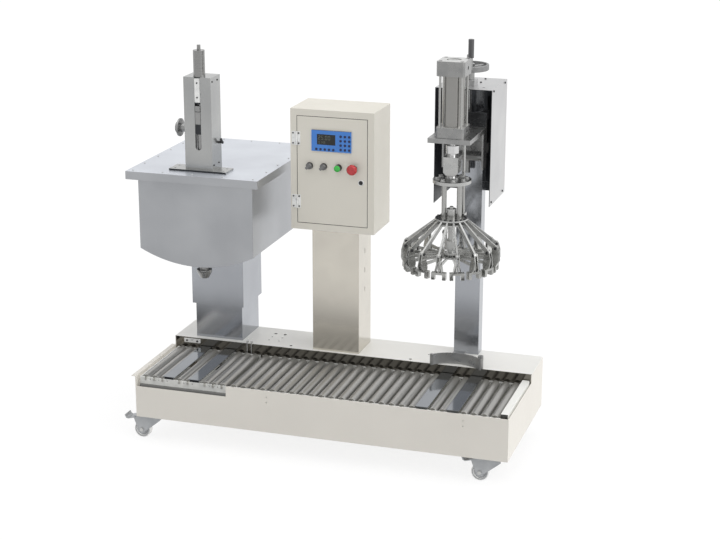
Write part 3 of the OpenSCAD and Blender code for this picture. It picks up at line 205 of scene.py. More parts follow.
# Powder paint: orange peel, soft clouding and a slow change of gloss
peel = {"scale": 620.0, "cloud": 3.0, "gloss": 24.0, "darker": 0.96, "change": 0.05,
        "bump": 0.18, "depth": 0.00006}


def paintedSheet(name, colour, rough=0.42):
    coat, tree, shader = startCoat(name, 0.0, rough)
    cloud = evenNoise(tree, peel["cloud"], 2.0)
    gloss = evenNoise(tree, peel["gloss"], 4.0)
    tint = blendOf(tree, cloud, shaded(colour, peel["darker"]), colour)
    tree.links.new(tint, shader.inputs["Base Color"])
    tree.links.new(ranged(tree, gloss, rough - peel["change"], rough + peel["change"]),
                   shader.inputs["Roughness"])
    bumped(tree, shader, evenNoise(tree, peel["scale"], 2.0), peel["bump"], peel["depth"])
    return coat


# Machined or cast metal: fine grit with wider stains
grit = {"scale": 480.0, "stain": 26.0, "shade": srgb(234, 235, 236), "darker": 0.98, "lighter": 1.01,
        "smoother": 0.04, "rougher": 0.05, "bump": 0.04, "depth": 0.00005}


def machinedMetal(name, colour, rough=0.38, metal=0.75):
    coat, tree, shader = startCoat(name, metal, rough)
    fine = evenNoise(tree, grit["scale"])
    stain = evenNoise(tree, grit["stain"])
    grains = blendOf(tree, fine, shaded(colour, grit["darker"]), shaded(colour, grit["lighter"]))
    stains = blendOf(tree, stain, grit["shade"], srgb(255, 255, 255))
    tree.links.new(multiplied(tree, grains, stains), shader.inputs["Base Color"])
    tree.links.new(ranged(tree, stain, rough - grit["smoother"], rough + grit["rougher"]),
                   shader.inputs["Roughness"])
    bumped(tree, shader, fine, grit["bump"], grit["depth"])
    return coat


# Ground round bars and rollers: rings round the axis, drawn by noise that is short along it
turning = {"along": 700.0, "around": 14.0, "darker": 0.95, "lighter": 1.03,
           "smoother": 0.03, "rougher": 0.04, "bump": 0.06, "depth": 0.00003}


def turnedSteel(name, colour, rough=0.26, metal=0.85, axis="z"):
    coat, tree, shader = startCoat(name, metal, rough)
    scale = [turning["along"] if letter == axis else turning["around"] for letter in "xyz"]
    rings = noiseOf(tree, scale)
    tint = blendOf(tree, rings, shaded(colour, turning["darker"]), shaded(colour, turning["lighter"]))
    tree.links.new(tint, shader.inputs["Base Color"])
    tree.links.new(ranged(tree, rings, rough - turning["smoother"], rough + turning["rougher"]),
                   shader.inputs["Roughness"])
    bumped(tree, shader, rings, turning["bump"], turning["depth"])
    return coat


# Plastic and rubber: fine grain and a slow change of shade and gloss
moulded = {"fine": 900.0, "wide": 40.0, "darker": 0.9, "change": 0.06, "bump": 0.22, "depth": 0.00005}


def mouldedPlastic(name, colour, rough=0.4, lacquer=0.0):
    coat, tree, shader = startCoat(name, 0.0, rough)
    fine = evenNoise(tree, moulded["fine"], 2.0)
    wide = evenNoise(tree, moulded["wide"], 2.0)
    tint = blendOf(tree, wide, shaded(colour, moulded["darker"]), colour)
    tree.links.new(tint, shader.inputs["Base Color"])
    tree.links.new(ranged(tree, wide, rough - moulded["change"], rough + moulded["change"]),
                   shader.inputs["Roughness"])
    shader.inputs["Coat Weight"].default_value = lacquer
    bumped(tree, shader, fine, moulded["bump"], moulded["depth"])
    return coat


coats = {}


def addCoats(maker, rows):
    for name, (colour, *settings) in rows.items():
        coats[name] = maker(name, srgb(*colour), *settings)


# colour, roughness
addCoats(paintedSheet, {
    "chassisPaint": ((226, 222, 214),),
    "deckPaint": ((232, 231, 227), 0.36),
    "cabinetPaint": ((222, 218, 207),),
    "stopWhite": ((238, 238, 234), 0.34),
})
# colour, roughness, metal share, the scratches' axis, their strength
addCoats(brushedSteel, {
    "hoodSteel": ((176, 178, 181), 0.3, 0.8, "z", 0.4),
    "lidSteel": ((212, 216, 223), 0.34, 0.6, "x"),
    "postSteel": ((176, 179, 184), 0.15, 0.9, "z", 0.3),
    "warmSteel": ((216, 211, 200), 0.17, 0.85, "z", 0.3),
    "coverSteel": ((200, 200, 200), 0.34),
    "standSteel": ((174, 175, 174), 0.24, 0.85, "z", 0.4),
    "plateSteel": ((140, 144, 149), 0.08, 0.95, "y", 0.4),
    "apronSteel": ((118, 115, 108), 0.1, 0.95, "x", 0.3),
    "tubeSteel": ((104, 104, 102), 0.3, 0.85, "x", 0.5),
})
# colour, roughness, metal share
addCoats(machinedMetal, {
    "railSteel": ((230, 230, 226), 0.38, 0.35),
    "cellMetal": ((184, 186, 190), 0.42, 0.6),
    "casterSteel": ((176, 178, 180), 0.4, 0.6),
    "boltDark": ((62, 62, 64), 0.4, 0.5),
    "boltSteel": ((196, 196, 194), 0.3, 0.8),
    "headMetal": ((152, 152, 151), 0.26, 0.85),
    "headTop": ((208, 208, 206), 0.3, 0.7),
    "carriageMetal": ((157, 157, 156), 0.28, 0.85),
    "backSteel": ((98, 99, 101), 0.26, 0.85),
    "discSteel": ((104, 104, 104), 0.24, 0.85),
    "crownSteel": ((190, 190, 188), 0.28, 0.85),
    "clawSteel": ((178, 178, 175), 0.26, 0.9),
    "wheelMetal": ((142, 142, 142), 0.4, 0.6),
    "darkSteel": ((58, 60, 63), 0.4, 0.7),
    "hingeMetal": ((240, 240, 238), 0.3, 0.4),
})
# colour, roughness, metal share, the round's axis
addCoats(turnedSteel, {
    "rollerSteel": ((164, 163, 160), 0.34, 0.8, "y"),
    "axleSteel": ((206, 205, 200), 0.3, 0.8, "y"),
    "barrelMetal": ((148, 147, 144), 0.2, 0.9),
    "chrome": ((210, 210, 210), 0.16, 0.95),
    "rodSteel": ((172, 172, 170), 0.2, 0.9),
    "liftMetal": ((144, 144, 143), 0.24, 0.9),
})
# colour, roughness, clear lacquer
addCoats(mouldedPlastic, {
    "casterTread": ((244, 244, 242), 0.36, 0.2),
    "casterHub": ((176, 178, 180), 0.4),
    "gripPlastic": ((86, 86, 88), 0.42),
    "blackPlastic": ((34, 34, 36), 0.38),
    "knobPlastic": ((116, 116, 116), 0.36, 0.2),
    "panelBlue": ((58, 128, 214), 0.34, 0.1),
    "keyNavy": ((12, 28, 74), 0.42),
    "screenDark": ((20, 23, 20), 0.3),
    "digitGrey": ((98, 104, 94), 0.4),
    "startGreen": ((46, 190, 66), 0.26, 0.5),
    "stopRed": ((190, 28, 36), 0.28, 0.5),
    "moduleGrey": ((168, 170, 170), 0.5),
    "sealRubber": ((26, 26, 27), 0.7),
})
print("materials made:", len(coats))

# Every CAD node is shown as a merged copy with eased edges and a finish for each region
finish = {"merge": 0.00001, "flat": math.radians(0.4), "sharp": math.radians(40),
          "edge": 0.0005, "fineEdge": 0.0004, "segments": 2}


def easeEdges(mesh, width):
    # outer edges get a small round; the flat faces beside it keep their own shading
    outer = [edge for edge in mesh.edges if edge.is_convex and edge.calc_face_angle(0) > finish["sharp"]]
    made = bmesh.ops.bevel(mesh, geom=outer, offset=width, offset_type="OFFSET",
                           segments=finish["segments"], profile=0.5, affect="EDGES",
                           material=-1, clamp_overlap=False)
    rounds = set(made["faces"])
    for edge in mesh.edges:
        sides = [face in rounds for face in edge.link_faces]
        if len(sides) == 2 and sides[0] != sides[1]:
            edge.smooth = False


def finished(name, mesh, body, names, edge=0):
    for face in mesh.faces:
        face.smooth = True
    for line in mesh.edges:
        line.smooth = line.calc_face_angle(0) < finish["sharp"]
    if edge:
        easeEdges(mesh, edge)
    data = bpy.data.meshes.new(name)
    mesh.to_mesh(data)
    mesh.free()
    for coatName in names:
        data.materials.append(coats[coatName])
    piece = bpy.data.objects.new(name, data)
    bpy.context.scene.collection.objects.link(piece)
    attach(piece, body)
    return piece


# A pick takes a face's centre on the bed and its normal, and gives the number of its finish
def dress(node, names, pick=None, edge=finish["edge"]):
    cad = frame["nodes"][node]
    mesh = bmesh.new()
    mesh.from_mesh(cad.data)
    bmesh.ops.remove_doubles(mesh, verts=mesh.verts, dist=finish["merge"])
    bmesh.ops.dissolve_limit(mesh, angle_limit=finish["flat"], verts=mesh.verts, edges=mesh.edges)
    for face in mesh.faces:
        face.material_index = pick(inBed(face.calc_center_median()), face.normal) if pick else 0
    piece = finished("dressed_" + node, mesh, cad["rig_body"], names, edge)
    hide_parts(node)


def looksFront(n):
    return n.y < -0.9


def looksUp(n, least=0.5):
    return n.z > least


def isUpright(n):
    return abs(n.z) < 0.5


def isEdgeOn(n):
    # a wall that the front view sees from its side
    return abs(n.y) < 0.5


# Screws, bolts and nuts: turned or six-sided heads, set on a face
screw = {
    "m4": {"head": 7.0, "high": 2.6, "socket": 3.2, "sides": 20},
    "m5": {"head": 9.0, "high": 3.4, "socket": 4.2, "sides": 20},
    "m8": {"head": 13.0, "high": 6.0, "socket": 6.0, "sides": 24},
    "hex6": {"head": 11.0, "high": 4.5, "socket": 0.0, "sides": 6},
    "hex10": {"head": 18.0, "high": 7.0, "socket": 0.0, "sides": 6},
}
screwForm = {"washerHigh": 0.0012, "washerSides": 20, "chamfer": 0.0004, "socketShare": 0.6}


def addDisc(mesh, diameter, low, high, sides):
    return bmesh.ops.create_cone(mesh, cap_ends=True, segments=sides, radius1=diameter / 2000,
                                 radius2=diameter / 2000, depth=high,
                                 matrix=Matrix.Translation((0, 0, low + high / 2)))["verts"]


def screws(name, body, kind, spots, outward, names=("boltDark",), washer=0.0):
    size = screw[kind]
    high = size["high"] / 1000
    chamfer = screwForm["chamfer"]
    turn = Vector((0, 0, 1)).rotation_difference(Vector(outward)).to_matrix().to_4x4()
    mesh = bmesh.new()
    for spot in spots:
        bolt = bmesh.new()
        low = 0.0
        if washer:
            addDisc(bolt, washer, 0.0, screwForm["washerHigh"], screwForm["washerSides"])
            low = screwForm["washerHigh"]
        head = addDisc(bolt, size["head"], low, high, size["sides"])
        top = max({f for v in head for f in v.link_faces}, key=lambda f: f.calc_center_median().z)
        bmesh.ops.bevel(bolt, geom=list(top.edges), offset=chamfer, offset_type="OFFSET", segments=1,
                        profile=0.5, affect="EDGES", material=-1)
        if size["socket"]:
            top = max(bolt.faces, key=lambda f: f.calc_center_median().z)
            rim = (size["head"] - size["socket"]) / 2000 - chamfer
            bmesh.ops.inset_region(bolt, faces=[top], thickness=rim)
            bmesh.ops.translate(bolt, verts=top.verts, vec=(0, 0, -high * screwForm["socketShare"]))
        bmesh.ops.transform(bolt, matrix=Matrix.Translation(onBed(*spot)) @ turn, verts=bolt.verts)
        part = bpy.data.meshes.new("part")
        bolt.to_mesh(part)
        bolt.free()
        mesh.from_mesh(part)
        bpy.data.meshes.remove(part)
    finished(name, mesh, body, names)


# Plain building shapes for small fittings, with bed millimetres in and metres out
def addBlock(mesh, low, high):
    middle = (Vector(low) + Vector(high)) / 2
    bmesh.ops.create_cube(mesh, size=1.0, matrix=Matrix.LocRotScale(
        onBed(*middle), None, (Vector(high) - Vector(low)) / 1000))


def addRod(mesh, start, end, diameter, sides=20):
    along = Vector(end) - Vector(start)
    turn = Vector((0, 0, 1)).rotation_difference(along).to_matrix().to_4x4()
    place = Matrix.Translation(onBed(*((Vector(start) + Vector(end)) / 2)))
    bmesh.ops.create_cone(mesh, cap_ends=True, segments=sides, radius1=diameter / 2000,
                          radius2=diameter / 2000, depth=along.length / 1000, matrix=place @ turn)


def blockPiece(name, size, coatName):
    mesh = bmesh.new()
    addBlock(mesh, size["low"], size["high"])
    finished(name, mesh, "frame", [coatName], size["edge"])


# Chassis and bed
dress("base_shell", ["chassisPaint"])
deck = {"apronBack": 438.1, "apronTop": 224.5, "sheetLow": bedBox("rear_deck")[1].z - 0.2, "square": 0.999}


def deckPick(c, n):
    # the apron below the deck's front edge gets a dark polished steel: partly its own steel, partly painted
    # shade of the gap behind the rollers
    if c.y < deck["apronBack"] and c.z < deck["apronTop"]:
        return 1
    # hole walls and the underside are given the black rubber coat as painted shade, as they lie in the shade
    under = c.y > deck["apronBack"] and c.z < deck["sheetLow"]
    return 2 if under and max(abs(n.x), abs(n.y)) < deck["square"] else 0


dress("rear_deck", ["deckPaint", "apronSteel", "sealRubber"], deckPick)
dress("scale_base", ["cellMetal"])

# the front tube of the scale lies in the rail's shade, so it is given a dark steel: painted shade
scaleTube = {"front": 15.9, "top": 145.9, "back": 60.0}


def scalePick(c, n):
    if c.y < scaleTube["front"]:
        return 1
    return 1 if c.z < scaleTube["top"] and c.y < scaleTube["back"] else 0


dress("scale_frame", ["railSteel", "tubeSteel"], scalePick)
dress("bed_rails", ["railSteel"])
dress("bed_plates", ["plateSteel"])
# faces of the end stop that look to the front get the dark steel: painted shade
dress("end_stop", ["stopWhite", "tubeSteel"], lambda c, n: 1 if looksFront(n) else 0)

roller = {"front": 24.9, "back": 420.1}  # the axles show outside these
dress("rollers", ["rollerSteel", "axleSteel"],
      lambda c, n: 1 if c.y < roller["front"] or c.y > roller["back"] else 0, 0)

dress("caster_plates", ["casterSteel"])
caster = {"corners": ("fl", "fr", "rl", "rr"), "boltTop": -60, "boltReach": 19.1, "hubRadius": 26.0,
          "trail": 38, "screwX": 35, "screwY": 25, "screwZ": -5}
wheelMiddle = {corner: sum(bedBox("caster_wheel_" + corner), Vector()) / 2 for corner in caster["corners"]}
for corner, middle in wheelMiddle.items():
    dress("caster_fork_" + corner, ["casterSteel", "boltSteel"],
          lambda c, n: 1 if c.z < caster["boltTop"] and abs(c.y - middle.y) > caster["boltReach"] else 0)
    dress("caster_wheel_" + corner, ["casterTread", "casterHub"],
          lambda c, n: 1 if math.hypot(c.x - middle.x, c.z - middle.z) < caster["hubRadius"] else 0)
for corner, middle in wheelMiddle.items():
    screws("casterBolts_" + corner, "frame", "hex6",
           [(middle.x + caster["trail"] + sx * caster["screwX"], middle.y + sy * caster["screwY"],
             caster["screwZ"]) for sx in (-1, 1) for sy in (-1, 1)], (0, 0, -1), ("boltSteel",))

# Rear hold-down hooks, the clamp plate behind the scale and the bar at its left end; the bar's bright coat is
# also a painted highlight
hooks = {"x": (351, 371), "front": 432, "back": 447, "low": 150, "deck": 228, "top": 240,
         "wire": 5, "past": 2.4, "sides": 16}
mesh = bmesh.new()
for x in hooks["x"]:
    front, back, top = hooks["front"], hooks["back"], hooks["top"]
    for start, end in (((x, front, hooks["low"]), (x, front, top)),
                       ((x, front - hooks["past"], top), (x, back + hooks["past"], top)),
                       ((x, back, hooks["deck"]), (x, back, top))):
        addRod(mesh, start, end, hooks["wire"], hooks["sides"])
finished("scaleHooks", mesh, "frame", ["chrome"])

clamp = {"low": (46, 429.6, 204), "high": (124, 434.9, 223), "edge": 0.0006,
         "screwX": (60, 110), "screwZ": 213.5}
blockPiece("scaleClamp", clamp, "hingeMetal")
screws("scaleClampScrews", "frame", "m5",
       [(x, clamp["low"][1], clamp["screwZ"]) for x in clamp["screwX"]], (0, -1, 0))
# a bright bar along the scale's left end: partly a real end bar, partly a painted highlight along the frame
endBarAndHighlight = {"low": (17, 21.2, 152), "high": (21, 423.8, 181.5), "edge": 0.0005}
blockPiece("scaleEndBarAndHighlight", endBarAndHighlight, "hingeMetal")
print("chassis and bed dressed")

# Filling side
lidLow, lidHigh = bedBox("hood_lid")
fillX = (lidLow.x + lidHigh.x) / 2
dress("fill_post", ["postSteel"])
dress("fill_sleeve", ["postSteel"])
dress("hood_shell", ["hoodSteel"])
# the lid's upward faces get a lighter bluish steel: partly the lid's own tone, partly painted light on its
# top
dress("hood_lid", ["hoodSteel", "lidSteel"], lambda c, n: 1 if looksUp(n) else 0)

stand = {"half": 62.5, "hollow": 59.6, "front": 279.2, "inside": 281.5, "back": 381.6, "foot": 1056.0}


def standPick(c, n):
    # the foot plate's front edge and the walls inside the stand get the dark steel: painted shade
    if c.z < stand["foot"]:
        return 1 if c.y < stand["front"] and looksFront(n) else 0
    inside = abs(c.x - fillX) < stand["hollow"] and stand["inside"] < c.y < stand["back"]
    return 1 if inside and isUpright(n) else 0


dress("nozzle_stand", ["standSteel", "darkSteel"], standPick)
strap = {"back": 293, "top": 1450, "screwY": 277, "screwZ": (1366, 1428)}
dress("lift_cylinder", ["liftMetal", "hingeMetal"],
      lambda c, n: 1 if c.y < strap["back"] and c.z < strap["top"] else 0)

nozzle = {"rod": 1330.0, "block": 1304.0, "inlet": 141.0, "front": 281.0}


def nozzlePick(c, n):
    if c.z > nozzle["rod"]:
        return 1
    bright = c.x < nozzle["inlet"] or c.z > nozzle["block"] or c.y < nozzle["front"]
    return 2 if bright else 0


dress("nozzle_carriage", ["darkSteel", "chrome", "carriageMetal"], nozzlePick)
dress("fill_pipe", ["carriageMetal"])
print("filling side dressed")

# Control side
dress("control_column", ["warmSteel"])
boxLow, boxHigh = bedBox("cabinet_box")
doorLow, doorHigh = bedBox("cabinet_door")
doorMiddle, doorHalf = (doorLow + doorHigh) / 2, (doorHigh - doorLow) / 2
door = {"face": 409.95, "hingeEnd": 622.0, "lockX": 892.5, "lockZ": 1016.0, "lockReach": 20, "edge": 0.96}
seal = {"front": 410.2, "back": 434, "in": 24}


def boxPick(c, n):
    if c.y < door["face"]:
        return 1
    within = all(low + seal["in"] < at < high - seal["in"]
                 for low, at, high in ((boxLow.x, c.x, boxHigh.x), (boxLow.z, c.z, boxHigh.z)))
    return 2 if within and seal["front"] < c.y < seal["back"] else 0


def doorPick(c, n):
    if c.y > door["face"]:
        reach = max(abs(c.x - doorMiddle.x) / doorHalf.x, abs(c.z - doorMiddle.z) / doorHalf.z)
        return 3 if isEdgeOn(n) and reach > door["edge"] else 0
    atLock = math.hypot(c.x - door["lockX"], c.z - door["lockZ"]) < door["lockReach"]
    return 1 if c.x < door["hingeEnd"] or atLock else 2


dress("cabinet_box", ["cabinetPaint", "hingeMetal", "sealRubber"], boxPick)
dress("cabinet_door", ["cabinetPaint", "hingeMetal", "blackPlastic", "sealRubber"], doorPick)

panel = {"keyFront": 403.95, "face": 404.05, "back": 409.9, "left": 673, "right": 849}


def panelPick(c, n):
    if c.y < panel["keyFront"]:
        return 1
    side = isEdgeOn(n) and (c.x < panel["left"] or c.x > panel["right"])
    if c.y < panel["face"] or c.y < panel["back"] and side:
        return 0
    return 2 if c.y < panel["back"] else 3


dress("display_panel", ["panelBlue", "keyNavy", "screenDark", "moduleGrey"], panelPick, finish["fineEdge"])

# each switch: its colour, and where its black body starts behind it
switches = {"selector_left": ("knobPlastic", 397.5), "selector_right": ("knobPlastic", 397.5),
            "start_button": ("startGreen", 388), "stop_button": ("stopRed", 389.5)}
for node, (coatName, bodyFront) in switches.items():
    dress(node, [coatName, "blackPlastic"], lambda c, n: 1 if c.y > bodyFront else 0)
dress("door_lock", ["blackPlastic"])

# Seven-bar digits on the screen: a weight above, a count below; text, place and height per row,
# the other sizes are shares of the height, and the gaps are shares of a bar
digits = {"y": 406.0, "thick": 0.3, "sunk": 0.02, "wide": 0.52, "bar": 0.11, "step": 0.72,
          "pointStep": 0.3, "point": 1.3, "flatGap": 0.7, "uprightGap": 0.6,
          "rows": (("25.00", 702.0, 1192.0, 18.0), ("0148", 704.0, 1175.0, 11.0))}
barsOf = {"0": "abcdef", "1": "bc", "2": "abged", "4": "fgbc", "5": "afgcd", "8": "abcdefg"}


def addDigit(mesh, letter, x, z, high):
    wide, bar = high * digits["wide"], high * digits["bar"]
    back, front = digits["y"] - digits["sunk"], digits["y"] - digits["thick"]
    if letter == ".":
        point = bar * digits["point"]
        addBlock(mesh, (x, front, z), (x + point, back, z + point))
        return high * digits["pointStep"]
    for name in barsOf[letter]:
        if name in "agd":
            level = z + {"a": high - bar, "g": (high - bar) / 2, "d": 0}[name]
            gap = bar * digits["flatGap"]
            addBlock(mesh, (x + gap, front, level), (x + wide - gap, back, level + bar))
        else:
            left = x if name in "fe" else x + wide - bar
            level = z + (high / 2 if name in "fb" else 0)
            gap = bar * digits["uprightGap"]
            addBlock(mesh, (left, front, level + gap), (left + bar, back, level + high / 2 - gap))
    return high * digits["step"]


mesh = bmesh.new()
for text, x, z, high in digits["rows"]:
    for letter in text:
        x += addDigit(mesh, letter, x, z, high)
finished("screenDigits", mesh, "door", ["digitGrey"])

controller = {"plate": 618.0, "rail": 610.0, "railTop": 1000, "supplyEnd": 715}


def controllerPick(c, n):
    if c.y > controller["plate"]:
        return 0
    if c.z > controller["railTop"]:
        return 2 if c.x > controller["supplyEnd"] else 0
    return 1 if c.y < controller["rail"] else 0


dress("controller_plate", ["cellMetal", "moduleGrey", "blackPlastic"], controllerPick)
print("control side dressed")

# Press side
cylLow, cylHigh = bedBox("press_cylinder")
pressX, pressY = (cylLow.x + cylHigh.x) / 2, (cylLow.y + cylHigh.y) / 2


def fromPress(c):
    return math.hypot(c.x - pressX, c.y - pressY)


dress("press_column", ["postSteel"])
cover = {"hollow": 119, "inside": 743, "under": 1432.5}


# the upright walls inside the cover's hollow get the dark steel: painted shade
def coverPick(c, n):
    inside = abs(c.x - pressX) < cover["hollow"] and c.y < cover["inside"] and c.z < cover["under"]
    return 1 if inside and isUpright(n) else 0


dress("press_cover", ["coverSteel", "darkSteel"], coverPick)
carriage = {"plateTop": 1267.5, "back": 440.0}
dress("press_carriage", ["carriageMetal", "backSteel"],
      lambda c, n: 1 if c.y > carriage["back"] and c.z > carriage["plateTop"] else 0)

cylinder = {"barrelLow": 1314.1, "barrelHigh": 1522.9, "barrelRadius": 47.0, "level": 0.9}


def cylinderPick(c, n):
    if cylinder["barrelLow"] < c.z < cylinder["barrelHigh"]:
        return 1 if fromPress(c) < cylinder["barrelRadius"] else 2
    # faces of the heads that look up get a lighter steel: painted highlight
    return 3 if looksUp(n, cylinder["level"]) else 0


dress("press_cylinder", ["headMetal", "barrelMetal", "rodSteel", "headTop"], cylinderPick)
coupling = {"top": 1188, "rodRadius": 17}
dress("press_rod", ["chrome", "crownSteel"],
      lambda c, n: 1 if c.z < coupling["top"] and fromPress(c) > coupling["rodRadius"] else 0)

crown = {"pivotRadius": 190.0, "pivotZ": 812.0, "pin": 6.4, "disc": 1088.0, "postLow": 925, "postHigh": 1076}


def crownPick(c, n):
    if math.hypot(fromPress(c) - crown["pivotRadius"], c.z - crown["pivotZ"]) < crown["pin"]:
        return 1
    if c.z > crown["disc"] and looksUp(n):
        return 3
    return 2 if crown["postLow"] < c.z < crown["postHigh"] else 0


dress("crown_frame", ["crownSteel", "boltDark", "rodSteel", "discSteel"], crownPick)
dress("crown_plunger", ["crownSteel"])
claws = [node for node in sorted(frame["nodes"]) if node.startswith("claw_")]
for node in claws:
    dress(node, ["clawSteel"], None, finish["fineEdge"])

handwheel = {"grip": 1561.9, "screwTop": 1500, "rimTop": 1525.0}


def handwheelPick(c, n):
    if c.z > handwheel["grip"]:
        return 1
    return 2 if c.z < handwheel["screwTop"] or c.z > handwheel["rimTop"] else 0


dress("handwheel", ["wheelMetal", "gripPlastic", "carriageMetal"], handwheelPick)
dress("pail_locator", ["carriageMetal"])
print("press side dressed")

# Screws of the filling head
lidScrew = {"in": 20, "endIn": 28, "across": 5, "along": 6}
spots = []
for i in range(lidScrew["across"]):
    x = lidLow.x + lidScrew["endIn"]
    x += i * (lidHigh.x - lidLow.x - 2 * lidScrew["endIn"]) / (lidScrew["across"] - 1)
    spots += [(x, y, lidHigh.z) for y in (lidLow.y + lidScrew["in"], lidHigh.y - lidScrew["in"])]
for i in range(1, lidScrew["along"] - 1):
    y = lidLow.y + lidScrew["in"] + i * (lidHigh.y - lidLow.y - 2 * lidScrew["in"]) / (lidScrew["along"] - 1)
    spots += [(x, y, lidHigh.z) for x in (lidLow.x + lidScrew["in"], lidHigh.x - lidScrew["in"])]
screws("lidScrews", "fill_head", "m4", spots, (0, 0, 1), ("boltSteel",))
screws("strapScrews", "fill_head", "m4", [(fillX, strap["screwY"], z) for z in strap["screwZ"]], (0, -1, 0))

# Screws of the door's hinges
hinge = {"z": (1191.5, 914.5), "half": 22, "front": 408, "boxIn": 13, "doorX": 614}
for name, body, x in (("hingeScrews", "frame", boxLow.x + hinge["boxIn"]),
                      ("hingeDoorScrews", "door", hinge["doorX"])):
    screws(name, body, "m4", [(x, hinge["front"], z + side * hinge["half"])
                              for z in hinge["z"] for side in (-1, 1)], (0, -1, 0))


# Bolts in rings round the press, by radius, count, first angle in degrees and height
def boltRing(ring):
    turns = [math.radians(ring["first"] + i * 360 / ring["count"]) for i in range(ring["count"])]
    return [(pressX + ring["radius"] * math.cos(turn), pressY + ring["radius"] * math.sin(turn), ring["z"])
            for turn in turns]


discBolt = {"radius": 60, "count": 8, "first": 20, "z": 1091, "washer": 22}
hubBolt = {"radius": 60, "count": 16, "first": 11.25, "z": 927}
screws("discBolts", "crown", "hex10", boltRing(discBolt), (0, 0, 1), ("boltSteel",), discBolt["washer"])
screws("hubBolts", "crown", "hex6", boltRing(hubBolt), (0, 0, 1))

# Screws in the sides of the nozzle's stand
standScrew = {"right": (296, 352), "left": (296, 368), "z": (1073, 1433)}
for name, side, places in (("standSideScrews", 1, standScrew["right"]),
                           ("standLeftScrews", -1, standScrew["left"])):
    screws(name, "fill_head", "m4", [(fillX + side * stand["half"], y, z)
                                     for y in places for z in standScrew["z"]], (side, 0, 0))

# Screws of the press cover and the cylinder's upper head
coverLow, coverHigh = bedBox("press_cover")
coverScrew = {"y": (494, 700), "z": (955, 1427), "topX": 1352, "topY": (628, 711), "topZ": 1435.0}
for name, side, x in (("coverScrews_left", -1, coverLow.x), ("coverScrews_right", 1, coverHigh.x)):
    screws(name, "frame", "m5", [(x, y, z) for y in coverScrew["y"] for z in coverScrew["z"]], (side, 0, 0))
screws("coverTopScrews", "frame", "m5",
       [(coverScrew["topX"], y, coverScrew["topZ"]) for y in coverScrew["topY"]], (0, 0, 1))
headScrew = {"out": 45, "sunk": 12}
screws("headScrews", "press_head", "m8",
       [(pressX + sx * headScrew["out"], pressY + sy * headScrew["out"], cylHigh.z - headScrew["sunk"])
        for sx in (-1, 1) for sy in (-1, 1)], (0, 0, 1))

# Push-in air elbow on the right side of the nozzle's stand: each rod's two ends by how far they
# stand out and how far they climb towards the front, then its diameter and sides
elbow = {"y": 362, "z": 1160, "rods": (((0, 0), (5, 0), 12, 6), ((5, 0), (18, 0), 10, 20),
                                       ((14, -3), (14, 14), 10, 20), ((14, 14), (14, 17), 12, 20))}


def elbowSpot(out, climb):
    return fillX + stand["half"] + out, elbow["y"] - climb, elbow["z"] + climb


mesh = bmesh.new()
for start, end, diameter, sides in elbow["rods"]:
    addRod(mesh, elbowSpot(*start), elbowSpot(*end), diameter, sides)
finished("airElbow", mesh, "fill_head", ["blackPlastic"])
print("screws and fittings set")

# Stage, light and camera
stage = {"floor": 60.0, "fill": 0.62, "bounce": 0.7, "shadow": 0.2, "shown": 1.02, "rough": 0.9}


def whiteForCamera(tree, lit, shown):
    # camera, mirror and glass rays see a white surround; other rays see the plain light level
    path = tree.nodes.new("ShaderNodeLightPath")
    seen = path.outputs["Is Camera Ray"]
    for label in ("Is Glossy Ray", "Is Transmission Ray"):
        most = tree.nodes.new("ShaderNodeMath")
        most.operation = "MAXIMUM"
        tree.links.new(seen, most.inputs[0])
        tree.links.new(path.outputs[label], most.inputs[1])
        seen = most.outputs[0]
    mix = tree.nodes.new("ShaderNodeMixShader")
    tree.links.new(seen, mix.inputs[0])
    tree.links.new(lit, mix.inputs[1])
    tree.links.new(shown, mix.inputs[2])
    return mix.outputs[0]


def makeWorld():
    world = bpy.data.worlds.new("studio")
    bpy.context.scene.world = world
    world.use_nodes = True
    tree = world.node_tree
    lit = tree.nodes["Background"]
    shown = tree.nodes.new("ShaderNodeBackground")
    for node, strength in ((lit, stage["fill"]), (shown, 1.0)):
        node.inputs["Color"].default_value = (1, 1, 1, 1)
        node.inputs["Strength"].default_value = strength
    output = tree.nodes["World Output"]
    tree.links.new(whiteForCamera(tree, lit.outputs[0], shown.outputs[0]), output.inputs["Surface"])


def stagePiece(name, mesh, coat, mirrorsOnly=False):
    data = bpy.data.meshes.new(name)
    mesh.to_mesh(data)
    mesh.free()
    data.materials.append(coat)
    piece = bpy.data.objects.new(name, data)
    bpy.context.scene.collection.objects.link(piece)
    if mirrorsOnly:
        piece.visible_camera = False
        piece.visible_diffuse = False
        piece.visible_shadow = False
        piece.visible_transmission = False
    piece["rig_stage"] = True


def makeFloor():
    mesh = bmesh.new()
    bmesh.ops.create_grid(mesh, x_segments=1, y_segments=1, size=stage["floor"] / 2)
    coat, tree, shader = startCoat("floorWhite", 0.0, stage["rough"])
    shader.inputs["Base Color"].default_value = (stage["bounce"],) * 3 + (1,)
    shader.inputs["Specular IOR Level"].default_value = 0.0
    # the camera sees a white glow and a share of the real light, which keeps the shadow soft and pale
    soft = tree.nodes.new("ShaderNodeBsdfDiffuse")
    soft.inputs["Color"].default_value = (stage["shadow"],) * 3 + (1,)
    glow = tree.nodes.new("ShaderNodeEmission")
    glow.inputs["Strength"].default_value = stage["shown"] - stage["shadow"]
    both = tree.nodes.new("ShaderNodeAddShader")
    tree.links.new(soft.outputs[0], both.inputs[0])
    tree.links.new(glow.outputs[0], both.inputs[1])
    output = tree.nodes["Material Output"]
    tree.links.new(whiteForCamera(tree, shader.outputs[0], both.outputs[0]), output.inputs["Surface"])
    stagePiece("studioFloor", mesh, coat)


# A grey card lying and standing in front of the machine, darker near it, that only mirrors see.
# dark and light: a distance from the machine plus height, and how strongly the card glows there
flag = {"left": -7.0, "right": 3.2, "near": -0.75, "far": -2.6, "low": 0.002, "high": 4.2,
        "dark": (1.1, 0.0), "light": (1.7, 0.9)}


